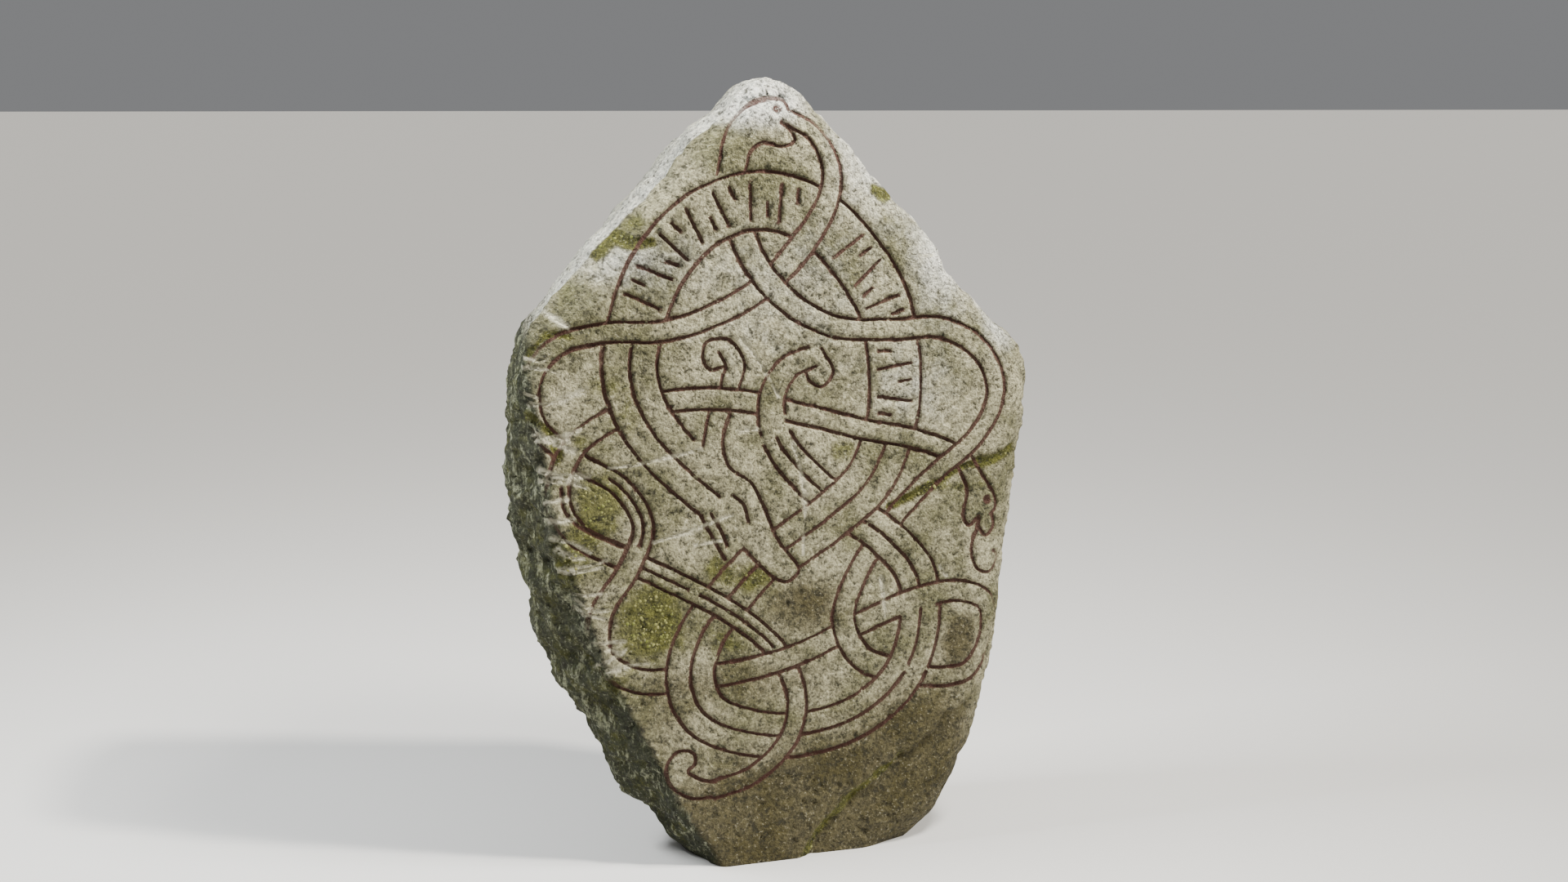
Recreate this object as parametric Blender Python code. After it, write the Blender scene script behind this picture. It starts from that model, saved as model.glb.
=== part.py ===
"""Rune stone: one upright slab with a pointed head and a narrow foot, carved on its front face.

Metres, +Z up. The carved face looks towards -Y, and the ground is at Z = 0, where the foot is cut flat.
The carving is knotwork: a broad serpent whose body carries a row of strokes, and two slender ones.
Every serpent is a strand, a path with a width, drawn by the grooves along its edges. Where two strands
cross, the grooves of the lower one stop at the edge of the upper one.
"""

import math
from dataclasses import dataclass, field

import bmesh
import bpy
import numpy as np
from mathutils.geometry import delaunay_2d_cdt

# Size of the stone
HEIGHT = 1.5
FACE_WIDTH = 0.99
THICKNESS = 0.32

# Size of the cuts
GROOVE_WIDTH = 0.012
GROOVE_DEPTH = 0.006
STROKE_WIDTH = 0.009
STROKE_DEPTH = 0.005
EYE_RADIUS = 0.011

# Worn edges of the carved face: how wide they are, and how far the rim lies behind the face. The left
# side's begin at the shoulder, at an angle in degrees from the top, within a turn of so many degrees
EDGE_WIDTH_LEFT = 0.035
EDGE_WIDTH_RIGHT = 0.075
EDGE_DROP_LEFT = 0.022
EDGE_DROP_RIGHT = 0.038
SHOULDER_ANGLE = -48
SHOULDER_TURN = 16

# Sides and back; the bulge of the sides is a share of the largest one, by angle in degrees from the top
LARGEST_BULGE = 0.085
BULGE_SHARES = (
    (-180, 0.10), (-168, 0.42), (-153, 1.0), (-135, 0.85), (-118, 0.92), (-100, 0.66), (-86, 0.67),
    (-72, 0.33), (-60, 0.07), (-48, -0.05), (-36, 0.15), (-20, 0.17), (0, 0.05), (30, 0.05),
    (150, 0.05), (180, 0.10),
)
BACK_INSET = 0.055
BACK_DOME = 0.045
WAVE_HEIGHT = 0.004
WAVE_LENGTH = 0.62

# Flake lost at the lower right of the face
FLAKE_DEPTH = 0.012
FLAKE_SLOPE = 0.024

# Fineness of the solid. The clearance of the field is a share of its spacing, those of the rows beside
# a cut are shares of the cut's half width, and the rows of the worn edge are shares of its width
CURVE_STEP = 0.004
CURVE_SAG = 0.0014
LONGEST_FACET = 0.046
FIELD_SPACING = 0.062
FIELD_CLEARANCE = 0.42
RING_SIDES = 84
SIDE_RINGS = (0.12, 0.36, 0.62, 0.85, 1.0)
BACK_RINGS = (0.68, 0.36)
EDGE_ROWS = (0.4, 1.0)
EDGE_ROW_GAP = 0.012
CUT_ROW_CLEARANCE = 0.85
CUT_ROW_GAP = 0.7
CLOSEST_POINTS = 0.005

# Face drawing: x from the middle line and z from the ground, as shares of a face of this size
DRAWN_WIDTH = 990
DRAWN_HEIGHT = 1500
FACE_CENTRE = (0, 720)
OUTLINE = (
    (-52, 1498), (10, 1496), (45, 1474), (78, 1440), (118, 1400), (178, 1338), (262, 1245),
    (300, 1203), (336, 1143), (376, 1100), (416, 1063), (466, 1020), (490, 985), (499, 935),
    (499, 875), (488, 797), (468, 645), (456, 500), (447, 410), (429, 298), (407, 210),
    (370, 124), (328, 58), (276, 8), (222, -22), (170, -70), (70, -112), (-60, -108),
    (-118, -55), (-142, 0), (-165, 30), (-196, 80), (-240, 160), (-300, 280), (-340, 360),
    (-375, 440), (-427, 600), (-452, 700), (-475, 850), (-490, 950), (-487, 1000),
    (-470, 1062), (-430, 1110), (-342, 1200), (-238, 1310), (-165, 1395), (-108, 1440),
    (-75, 1480),
)
FLAKE_LINE = ((40, -60), (55, 25), (110, 90), (170, 140), (240, 195), (330, 265), (440, 345))


@dataclass
class Strand:
    """One serpent's body: its path, its width along it and the stretches with a middle line."""

    path: tuple
    widths: tuple
    middle: tuple = ()
    right_from: float = 0.0
    centre: np.ndarray = field(default=None, repr=False)
    half: np.ndarray = field(default=None, repr=False)


STRANDS = {
    "rune_ring": Strand(
        path=(
            (-125, 740), (-180, 790), (-232, 845), (-272, 910), (-290, 985), (-276, 1070),
            (-236, 1166), (-149, 1257), (-42, 1288), (60, 1256), (145, 1174), (197, 1085),
            (218, 970), (213, 865), (170, 757), (95, 690), (5, 630),
        ),
        widths=(98, 100, 104, 105, 105, 105, 102, 98, 92),
        middle=((0.0, 0.22), (0.825, 1.0)),
        right_from=0.07,
    ),
    "rune_tail": Strand(
        path=(
            (-50, 603), (-105, 545), (-160, 475), (-183, 390), (-155, 315), (-70, 271), (38, 257),
            (160, 287), (240, 355), (274, 450), (268, 560), (205, 640), (120, 702), (42, 772),
            (-12, 845), (-22, 925), (10, 978), (55, 997),
        ),
        widths=(88, 94, 90, 84, 76, 62, 40),
        middle=((0.0, 0.725), (0.79, 0.89)),
    ),
    "upper_band": Strand(
        path=(
            (12, 1436), (62, 1406), (91, 1348), (84, 1285), (38, 1210), (-40, 1130), (-142, 1076),
            (-230, 1054), (-340, 1054), (-425, 1030), (-468, 970), (-460, 890), (-385, 818),
            (-310, 768), (-269, 693), (-298, 611), (-350, 530), (-352, 445), (-284, 393),
            (-180, 388),
        ),
        widths=(26, 48, 38, 33, 36, 42, 50),
        middle=((0.66, 0.75),),
    ),
    "base_band": Strand(
        path=(
            (-180, 388), (-80, 396), (30, 420), (150, 470), (275, 514), (360, 522), (414, 495),
            (420, 425), (380, 357), (300, 350), (235, 366),
        ),
        widths=(46, 42, 46, 34, 42),
    ),
    "right_band": Strand(
        path=(
            (235, 366), (158, 402), (120, 480), (148, 573), (220, 677), (300, 758), (388, 833),
            (424, 915), (395, 993), (314, 1042), (210, 1043), (90, 1055), (-9, 1118), (-65, 1195),
            (-92, 1280), (-98, 1338),
        ),
        widths=(49, 44, 38, 34, 40, 38, 45, 53),
    ),
    "middle_band": Strand(
        path=(
            (-140, 160), (-60, 183), (9, 250), (26, 335), (-15, 431), (-95, 507), (-190, 567),
            (-312, 635), (-394, 685), (-426, 752), (-402, 836), (-335, 890), (-217, 924),
            (-90, 921), (45, 887), (163, 853), (250, 834), (325, 806), (365, 779),
        ),
        widths=(36, 38, 42, 42, 42, 40, 38, 36),
        middle=((0.213, 0.31), (0.328, 0.38)),
    ),
}

# Crossings: the upper strand, the lower strand and the place
CROSSINGS = (
    ("rune_ring", "rune_tail", (115, 706)),
    ("upper_band", "rune_ring", (72, 1262)),
    ("right_band", "upper_band", (-32, 1140)),
    ("upper_band", "rune_ring", (-280, 1054)),
    ("middle_band", "upper_band", (-415, 835)),
    ("upper_band", "middle_band", (-285, 628)),
    ("rune_tail", "upper_band", (-180, 388)),
    ("rune_tail", "base_band", (-180, 388)),
    ("base_band", "middle_band", (-4, 410)),
    ("right_band", "base_band", (122, 458)),
    ("base_band", "rune_tail", (275, 514)),
    ("rune_tail", "base_band", (240, 365)),
    ("rune_tail", "right_band", (240, 365)),
    ("rune_tail", "right_band", (190, 640)),
    ("right_band", "middle_band", (345, 795)),
    ("right_band", "rune_ring", (210, 1045)),
    ("rune_ring", "right_band", (-88, 1280)),
    ("middle_band", "rune_tail", (27, 300)),
    ("middle_band", "rune_tail", (-125, 527)),
    ("rune_ring", "middle_band", (-265, 915)),
    ("rune_tail", "middle_band", (-20, 904)),
    ("middle_band", "rune_ring", (210, 845)),
)

# Heads, crest, curled ends and whisker of the serpents
CONTOURS = (
    ((-103, 897), (-117, 845), (-105, 795), (-65, 765), (-42, 725), (-10, 647), (22, 605),
     (30, 585), (10, 566), (-15, 573), (-78, 636)),
    ((-160, 705), (-133, 652), (-113, 617)),
    ((-140, 707), (-122, 675), (-110, 645)),
    ((-98, 741), (-78, 722), (-68, 689)),
    ((-420, 772), (-417, 735), (-390, 700), (-312, 656)),
    ((-155, 838), (-150, 868), (-143, 899)),
    ((-120, 945), (-117, 965), (-110, 985), (-122, 1010)),
    ((-85, 945), (-75, 990), (-105, 1035), (-147, 1030), (-153, 1000), (-140, 980), (-114, 984)),
    ((-125, 1335), (-112, 1390), (-82, 1443), (-35, 1470), (3, 1467), (12, 1447)),
    ((-72, 1342), (-60, 1378), (-40, 1392), (0, 1385), (22, 1396), (12, 1414), (-3, 1428)),
    ((378, 790), (405, 745), (427, 712), (432, 685), (422, 673)),
    ((425, 672), (428, 645), (410, 630), (393, 652)),
    ((352, 768), (369, 725), (363, 668), (376, 653), (395, 670), (393, 650)),
    ((393, 650), (380, 605), (395, 563), (425, 556), (441, 585), (431, 597)),
    ((74, 1012), (97, 965), (75, 940), (50, 952), (43, 970)),
    ((-145, 145), (-185, 148), (-225, 180), (-230, 220), (-205, 245), (-178, 238), (-176, 215),
     (-190, 203), (-165, 183), (-135, 176)),
)
EYES = ((-12, 1455), (411, 703))

# Rows of strokes: the stretches of the rune ring that carry them, and the lean of each stroke in turn
STROKE_STRETCHES = ((0.25, 0.495), (0.555, 0.79))
STROKE_LEANS = (0.10, -0.16, 0.05, 0.22, -0.08)
STROKE_LENGTH_SHARE = 0.62
STROKE_GAP = 0.060
TICK_LENGTH_SHARE = 0.32
TICK_HEIGHT_SHARE = 0.36

STONE_COLOUR = (0.36, 0.34, 0.28, 1.0)
STONE_ROUGHNESS = 0.92


def on_face(points):
    """Points of the face drawing in metres."""
    return np.asarray(points, float) * (FACE_WIDTH / DRAWN_WIDTH, HEIGHT / DRAWN_HEIGHT)


def lengths_along(line):
    """Length of a line up to each of its points."""
    steps = np.linalg.norm(np.diff(line, axis=0), axis=1)
    return np.concatenate([[0.0], np.cumsum(steps)])


def evenly_spaced(line, spacing):
    """The same line with points at an even spacing."""
    along = lengths_along(line)
    count = max(2, round(along[-1] / spacing) + 1)
    places = np.linspace(0.0, along[-1], count)
    return np.stack([np.interp(places, along, line[:, axis]) for axis in (0, 1)], axis=1)


def smooth_curve(points, spacing=CURVE_STEP, closed=False):
    """Smooth curve through the points, as a finely divided line."""
    knots = np.asarray(points, float)
    if closed:
        knots = np.vstack([knots[-1], knots, knots[0], knots[1]])
    else:
        knots = np.vstack([2 * knots[0] - knots[1], knots, 2 * knots[-1] - knots[-2]])
    t = np.linspace(0.0, 1.0, 24, endpoint=False)[:, None]
    pieces = []
    for before, start, end, after in zip(knots, knots[1:], knots[2:], knots[3:]):
        ahead = math.sqrt(np.linalg.norm(start - before))
        inside = math.sqrt(np.linalg.norm(end - start))
        behind = math.sqrt(np.linalg.norm(after - end))
        middle = (end - start) / inside
        leave = (start - before) / ahead - (end - before) / (ahead + inside) + middle
        arrive = middle - (after - start) / (inside + behind) + (after - end) / behind
        pieces.append(
            (2 * t**3 - 3 * t**2 + 1) * start
            + (t**3 - 2 * t**2 + t) * inside * leave
            + (3 * t**2 - 2 * t**3) * end
            + (t**3 - t**2) * inside * arrive
        )
    return evenly_spaced(np.vstack([*pieces, knots[-2]]), spacing)


def side_directions(line):
    """Unit vectors to the left of a line, at each of its points."""
    ahead = np.gradient(line, axis=0)
    ahead /= np.linalg.norm(ahead, axis=1)[:, None]
    return np.stack([-ahead[:, 1], ahead[:, 0]], axis=1)


def distances(points, line):
    """Distance from each point to a line, and the share of the line where it is nearest."""
    start = line[:-1]
    run = line[1:] - start
    offset = points[:, None] - start
    share = np.clip((offset * run).sum(2) / np.maximum((run**2).sum(1), 1e-18), 0.0, 1.0)
    gap = np.linalg.norm(offset - share[:, :, None] * run, axis=2)
    nearest = gap.argmin(axis=1)
    rows = np.arange(len(points))
    return gap[rows, nearest], (nearest + share[rows, nearest]) / len(run)


def lay_out_strands():
    """Give each strand its centre line and its half width along it."""
    for strand in STRANDS.values():
        strand.centre = smooth_curve(on_face(strand.path))
        stations = np.linspace(0.0, 1.0, len(strand.widths))
        shares = np.linspace(0.0, 1.0, len(strand.centre))
        strand.half = np.interp(shares, stations, strand.widths) / 2 * FACE_WIDTH / DRAWN_WIDTH


def clearance(name, line):
    """How far each point of a strand's line lies outside the strands that pass over it."""
    clear = np.full(len(line), LONGEST_FACET)
    for upper_name, lower_name, place in CROSSINGS:
        if lower_name != name:
            continue
        upper = STRANDS[upper_name]
        middle = on_face(place)
        reach = 2.2 * (upper.half.max() + STRANDS[name].half.max())
        near = np.linalg.norm(line - middle, axis=1) < reach
        stretch = np.linalg.norm(upper.centre - middle, axis=1) < 1.5 * reach
        gap, share = distances(line[near], upper.centre[stretch])
        half = np.interp(share, np.linspace(0.0, 1.0, stretch.sum()), upper.half[stretch])
        clear[near] = np.minimum(clear[near], gap - half)
    return clear


def visible_pieces(line, clear):
    """The pieces of a line with a positive clearance, ended where the clearance reaches zero."""
    pieces = []
    current = [line[0]] if clear[0] > 0 else []
    for index in range(1, len(line)):
        before, here = clear[index - 1], clear[index]
        if (before > 0) != (here > 0):
            share = before / (before - here)
            current.append(line[index - 1] + share * (line[index] - line[index - 1]))
            if before > 0:
                pieces.append(np.array(current))
                current = []
        if here > 0:
            current.append(line[index])
    if current:
        pieces.append(np.array(current))
    return [piece for piece in pieces if lengths_along(piece)[-1] > 2 * GROOVE_WIDTH]


def strand_lines():
    """Every visible groove line of the strands: both edges and the middle lines."""
    lines = []
    for name, strand in STRANDS.items():
        last = len(strand.centre) - 1
        side = side_directions(strand.centre) * strand.half[:, None]
        spans = [(strand.centre + side, (0.0, 1.0))]
        spans.append((strand.centre - side, (strand.right_from, 1.0)))
        spans += [(strand.centre, stretch) for stretch in strand.middle]
        for line, (start, end) in spans:
            part = line[round(start * last): round(end * last) + 1]
            lines += visible_pieces(part, clearance(name, part))
    return lines


def few_points(line):
    """The fewest points that stay within the sag of a fine line."""
    kept = [0]
    along = lengths_along(line)
    reach = 2
    while reach < len(line):
        start = kept[-1]
        chord = line[[start, reach]]
        gap = distances(line[start:reach + 1], chord)[0].max()
        if gap > CURVE_SAG or along[reach] - along[start] > LONGEST_FACET:
            kept.append(reach - 1)
        reach += 1
    return line[kept + [len(line) - 1]]


def join_ends(lines):
    """Tie each line's ends to the lines that they meet, so that the grooves run into each other."""
    joined = [line.copy() for line in lines]
    for index in range(len(joined)):
        for end in (0, -1):
            tip = joined[index][end]
            best = None
            for other in range(len(joined)):
                if other == index:
                    continue
                gap, share = distances(tip[None], joined[other])
                if gap[0] < GROOVE_WIDTH * 0.75 and (best is None or gap[0] < best[0]):
                    best = (gap[0], other, share[0] * (len(joined[other]) - 1))
            if best is None:
                continue
            line = joined[best[1]]
            corner = line[round(best[2])]
            if np.linalg.norm(corner - tip) < GROOVE_WIDTH * 0.75:
                joined[index][end] = corner
            else:
                joined[best[1]] = np.insert(line, math.floor(best[2]) + 1, tip, axis=0)
    return joined


def stroke_lines():
    """The rows of strokes across the rune ring, long and short in turn, clear of the strands above it."""
    ring = STRANDS["rune_ring"]
    side = side_directions(ring.centre)
    last = len(ring.centre) - 1
    length = lengths_along(ring.centre)[-1]
    lines = []
    for start, end in STROKE_STRETCHES:
        count = round((end - start) * length / STROKE_GAP)
        for order in range(count):
            index = round((start + (end - start) * (order + 0.5) / count) * last)
            lean = STROKE_LEANS[order % len(STROKE_LEANS)]
            across = side[index]
            along = np.array([across[1], -across[0]])
            reach = (across + lean * along) * ring.half[index] * STROKE_LENGTH_SHARE
            middle = ring.centre[index]
            lines.append(np.array([middle - reach, middle + reach]))
            height = (-1) ** order * TICK_HEIGHT_SHARE * ring.half[index]
            tick = middle + along * STROKE_GAP / 2 + across * height
            short = reach * TICK_LENGTH_SHARE
            lines.append(np.array([tick - short, tick + short]))
    return [line for line in lines if clearance("rune_ring", line).min() > STROKE_WIDTH]


class FaceOutline:
    """The outline of the carved face, as a distance from its centre in every direction."""

    def __init__(self):
        self.centre = on_face(FACE_CENTRE)
        border = smooth_curve(on_face(OUTLINE), closed=True) - self.centre
        angles = np.arctan2(border[:, 0], border[:, 1])
        order = np.argsort(angles)
        self.angles = angles[order]
        self.radii = np.linalg.norm(border, axis=1)[order]

    def reach(self, angles):
        """Distance from the centre to the outline."""
        return np.interp(angles, self.angles, self.radii, period=2 * math.pi)

    def polar(self, points):
        """Angle of each point, its distance from the centre and the outline's there."""
        offset = points - self.centre
        angles = np.arctan2(offset[:, 0], offset[:, 1])
        return angles, np.linalg.norm(offset, axis=1), self.reach(angles)

    def ring(self, angles, outset=0.0):
        """Points beside the outline, outside it by the outset."""
        radii = self.reach(angles) + outset
        return self.centre + np.stack([np.sin(angles), np.cos(angles)], axis=1) * radii[:, None]


def leftness(angles):
    """1 on the left side of the stone below its shoulder, 0 on its right side and its head."""
    degrees = (np.degrees(angles) + 180) % 360 - 180
    upward = np.clip((SHOULDER_ANGLE - degrees) / SHOULDER_TURN, 0.0, 1.0)
    downward = np.clip((degrees + 180) / SHOULDER_TURN, 0.0, 1.0)
    return upward * downward


def worn_edge(angles):
    """Width of the worn edge of the carved face, and how far the rim lies behind the face."""
    left = leftness(angles)
    width = left * EDGE_WIDTH_LEFT + (1 - left) * EDGE_WIDTH_RIGHT
    drop = left * EDGE_DROP_LEFT + (1 - left) * EDGE_DROP_RIGHT
    return width, drop


def side_bulge(angles):
    """How far the sides stand out beyond the outline halfway between face and back."""
    stations, shares = np.array(BULGE_SHARES).T
    return LARGEST_BULGE * np.interp(angles, np.radians(stations), shares, period=2 * math.pi)


def waves(points):
    """Gentle unevenness of the stone, between 0 and 1."""
    turn = 2 * math.pi / WAVE_LENGTH
    across = np.sin(turn * points[:, 0] + 1.1) * np.cos(0.8 * turn * points[:, 1])
    slanted = np.sin(1.7 * turn * (points[:, 0] * 0.6 + points[:, 1] * 0.8) + 0.4)
    return 0.5 + 0.3 * across + 0.2 * slanted


def flake_recess(points):
    """Depth of the flake lost at the lower right, below and right of its edge line."""
    edge = on_face(FLAKE_LINE)
    gap, share = distances(points, edge)
    first = np.minimum((share * (len(edge) - 1)).astype(int), len(edge) - 2)
    run = edge[first + 1] - edge[first]
    offset = points - edge[first]
    below = run[:, 0] * offset[:, 1] - run[:, 1] * offset[:, 0] < 0
    return FLAKE_DEPTH * np.clip(np.where(below, gap, 0.0) / FLAKE_SLOPE, 0.0, 1.0)


def groove_depth(points, lines, width, depth):
    """Depth of round-bottomed grooves along the lines."""
    nearest = np.full(len(points), width)
    for line in lines:
        nearest = np.minimum(nearest, distances(points, line)[0])
    return depth * np.clip(1.0 - (2 * nearest / width) ** 2, 0.0, 1.0)


def eye_depth(points):
    """Depth of the drilled eyes."""
    gap = np.linalg.norm(points[:, None] - on_face(EYES), axis=2).min(axis=1)
    return GROOVE_DEPTH * np.clip(1.0 - (gap / EYE_RADIUS) ** 2, 0.0, 1.0)


def face_surface(points, outline, grooves, strokes):
    """Y of the carved face at each of its points."""
    angles, radii, reach = outline.polar(points)
    width, drop = worn_edge(angles)
    inward = np.clip((reach - radii) / width, 0.0, 1.0)
    surface = -THICKNESS / 2 + drop * (1 - inward) ** 2 + WAVE_HEIGHT * waves(points)
    cuts = np.maximum(
        groove_depth(points, grooves, GROOVE_WIDTH, GROOVE_DEPTH),
        groove_depth(points, strokes, STROKE_WIDTH, STROKE_DEPTH),
    )
    return surface + flake_recess(points) + np.maximum(cuts, eye_depth(points))


class FaceSketch:
    """Points and edges that the carved face is divided along."""

    def __init__(self, outline):
        self.outline = outline
        self.points = np.zeros((0, 2))
        self.edges = []

    def add_row(self, row, allowed=None, gap=CLOSEST_POINTS, tie=False):
        """Add a row of points, with edges between neighbours where both were added.

        A point closer to an earlier one than the gap is left out, or tied to that one.
        """
        if allowed is None:
            allowed = np.full(len(row), True)
        previous = None
        for point, good in zip(row, allowed):
            current = self._place(point, gap, tie) if good else None
            if current is not None and previous is not None and current != previous:
                self.edges.append((previous, current))
            previous = current

    def _place(self, point, gap, tie):
        if len(self.points):
            away = np.linalg.norm(self.points - point, axis=1)
            nearest = int(away.argmin())
            if away[nearest] < gap:
                return nearest if tie else None
        self.points = np.vstack([self.points, point])
        return len(self.points) - 1

    def add_field(self, spacing, lines):
        """Fill what is left with an even pattern of points, clear of the lines."""
        radius = self.outline.radii.max()
        count = math.ceil(radius / spacing) + 1
        for row in range(-count, count + 1):
            shift = 0.25 if row % 2 else -0.25
            places = [(column + shift, row * math.sqrt(0.75)) for column in range(-count, count + 1)]
            points = self.outline.centre + spacing * np.array(places)
            away = np.min([distances(points, line)[0] for line in lines], axis=0)
            _, radii, reach = self.outline.polar(points)
            clear = FIELD_CLEARANCE * spacing
            good = (away > clear) & (reach - radii > EDGE_WIDTH_RIGHT)
            for point in points[good]:
                self._place(point, clear, False)


def sketch_face(outline, grooves, strokes):
    """Divide the carved face along its outline, its grooves and its strokes."""
    sketch = FaceSketch(outline)
    angles = np.arange(RING_SIDES) * 2 * math.pi / RING_SIDES
    border = outline.ring(angles)
    sketch.add_row(np.vstack([border, border[:1]]), tie=True)
    lines = grooves + strokes
    halves = [GROOVE_WIDTH / 2] * len(grooves) + [STROKE_WIDTH / 2] * len(strokes)

    def inside(points, margin):
        _, radii, reach = outline.polar(points)
        return reach - radii > margin

    for line in lines:
        sketch.add_row(line, inside(line, GROOVE_WIDTH), tie=True)
    for line, half in zip(lines, halves):
        side = side_directions(line) * half
        ahead = np.stack([side[:, 1], -side[:, 0]], axis=1)
        tips = np.array([line[0] - ahead[0], line[-1] + ahead[-1]])
        for row in (line + side, line - side, tips[:1], tips[1:]):
            away = np.min([distances(row, other)[0] for other in lines], axis=0)
            clear = inside(row, GROOVE_WIDTH) & (away > CUT_ROW_CLEARANCE * half)
            sketch.add_row(row, clear, gap=CUT_ROW_GAP * half)
    for eye in on_face(EYES):
        corners = np.arange(6) * math.pi / 3
        rim = eye + EYE_RADIUS * np.stack([np.sin(corners), np.cos(corners)], axis=1)
        sketch.add_row(np.vstack([eye, rim]))
    flake = evenly_spaced(on_face(FLAKE_LINE), LONGEST_FACET)
    slope = side_directions(flake) * FLAKE_SLOPE
    for row in (flake, flake - slope):
        away = np.min([distances(row, line)[0] for line in lines], axis=0)
        sketch.add_row(row, inside(row, FLAKE_SLOPE) & (away > GROOVE_WIDTH), gap=FLAKE_SLOPE / 2)
    width, _ = worn_edge(angles)
    for share in EDGE_ROWS:
        row = outline.ring(angles, -share * width)
        away = np.min([distances(row, line)[0] for line in lines], axis=0)
        sketch.add_row(row, away > GROOVE_WIDTH, gap=EDGE_ROW_GAP)
    sketch.add_field(FIELD_SPACING, lines)
    return sketch


def carved_face(mesh, outline):
    """Add the carved face to the mesh, and return the vertices of its border in order."""
    grooves = strand_lines() + [smooth_curve(on_face(contour)) for contour in CONTOURS]
    grooves = join_ends([few_points(line) for line in grooves])
    strokes = stroke_lines()
    sketch = sketch_face(outline, grooves, strokes)
    flat = [tuple(point) for point in sketch.points]
    points, _, faces, sources, _, _ = delaunay_2d_cdt(flat, sketch.edges, [], 1, 1e-6)
    points = np.array([tuple(point) for point in points])
    surface = face_surface(points, outline, grooves, strokes)
    verts = [mesh.verts.new((x, y, z)) for (x, z), y in zip(points, surface)]
    for face in faces:
        mesh.faces.new([verts[index] for index in face])
    places = {source: index for index, found in enumerate(sources) for source in found}
    return [verts[places[index]] for index in range(RING_SIDES)]


def bridge(mesh, outer, inner):
    """Close the band between two rings with as many vertices."""
    for index, corner in enumerate(outer):
        following = (index + 1) % len(outer)
        quad = (corner, inner[index], inner[following], outer[following])
        mesh.faces.new(quad)


def sides_and_back(mesh, outline, border):
    """Add the sides, which bulge between face and back, and the domed back."""
    angles = np.arange(RING_SIDES) * 2 * math.pi / RING_SIDES
    bulge = side_bulge(angles)
    front = np.array([vertex.co.y for vertex in border])
    rim = THICKNESS / 2 - BACK_DOME
    ring = border
    for share in SIDE_RINGS:
        unevenness = waves(outline.ring(angles) + share * THICKNESS) - 0.5
        outset = bulge * math.sin(math.pi * share) - BACK_INSET * share**3
        points = outline.ring(angles, outset + 2 * WAVE_HEIGHT * unevenness)
        depth = front + (rim - front) * share
        following = [mesh.verts.new((x, y, z)) for (x, z), y in zip(points, depth)]
        bridge(mesh, ring, following)
        ring = following
    for share in BACK_RINGS:
        points = outline.centre + (outline.ring(angles, -BACK_INSET) - outline.centre) * share
        depth = THICKNESS / 2 - BACK_DOME * share**3 - WAVE_HEIGHT * waves(points)
        following = [mesh.verts.new((x, y, z)) for (x, z), y in zip(points, depth)]
        bridge(mesh, ring, following)
        ring = following
    x, z = outline.centre
    peak = mesh.verts.new((x, THICKNESS / 2, z))
    for index, corner in enumerate(ring):
        mesh.faces.new((corner, peak, ring[(index + 1) % len(ring)]))


def cut_at_ground(mesh):
    """Cut the foot off flat at the ground and close it."""
    geometry = mesh.verts[:] + mesh.edges[:] + mesh.faces[:]
    cut = bmesh.ops.bisect_plane(
        mesh,
        geom=geometry,
        dist=CLOSEST_POINTS / 10,
        plane_co=(0, 0, 0),
        plane_no=(0, 0, 1),
        clear_inner=True,
    )
    edges = [item for item in cut["geom_cut"] if isinstance(item, bmesh.types.BMEdge)]
    for edge in edges:
        for vertex in edge.verts:
            vertex.co.z = 0.0
    bmesh.ops.holes_fill(mesh, edges=edges, sides=0)


def centre_over_origin(mesh):
    """Move the stone so that the middle of its box stands over the origin."""
    corners = np.array([vertex.co for vertex in mesh.verts])
    middle = (corners.min(axis=0) + corners.max(axis=0)) / 2
    bmesh.ops.translate(mesh, verts=mesh.verts, vec=(-middle[0], -middle[1], 0.0))


def stone_material():
    """Weathered grey granite."""
    material = bpy.data.materials.new("stone")
    material.use_nodes = True
    shader = material.node_tree.nodes["Principled BSDF"]
    shader.inputs["Base Color"].default_value = STONE_COLOUR
    shader.inputs["Roughness"].default_value = STONE_ROUGHNESS
    shader.inputs["Metallic"].default_value = 0.0
    return material


def rune_stone():
    """The carved stone, one solid."""
    lay_out_strands()
    outline = FaceOutline()
    mesh = bmesh.new()
    border = carved_face(mesh, outline)
    sides_and_back(mesh, outline, border)
    cut_at_ground(mesh)
    centre_over_origin(mesh)
    bmesh.ops.triangulate(mesh, faces=mesh.faces)
    bmesh.ops.recalc_face_normals(mesh, faces=mesh.faces)
    data = bpy.data.meshes.new("rune_stone")
    mesh.to_mesh(data)
    mesh.free()
    data.materials.append(stone_material())
    stone = bpy.data.objects.new("rune_stone", data)
    bpy.context.scene.collection.objects.link(stone)
    return stone


for leftover in list(bpy.data.objects):
    bpy.data.objects.remove(leftover)
rune_stone()
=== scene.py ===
"""Rune stone: the carved face at full detail, its weathering, its growth and the studio round it."""

import logging
import math
from collections.abc import Iterable
from dataclasses import dataclass, field
from enum import Enum
from typing import Any

import bmesh
import bpy
import numpy as np
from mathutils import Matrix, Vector
from mathutils.geometry import delaunay_2d_cdt
from mathutils.kdtree import KDTree


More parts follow.
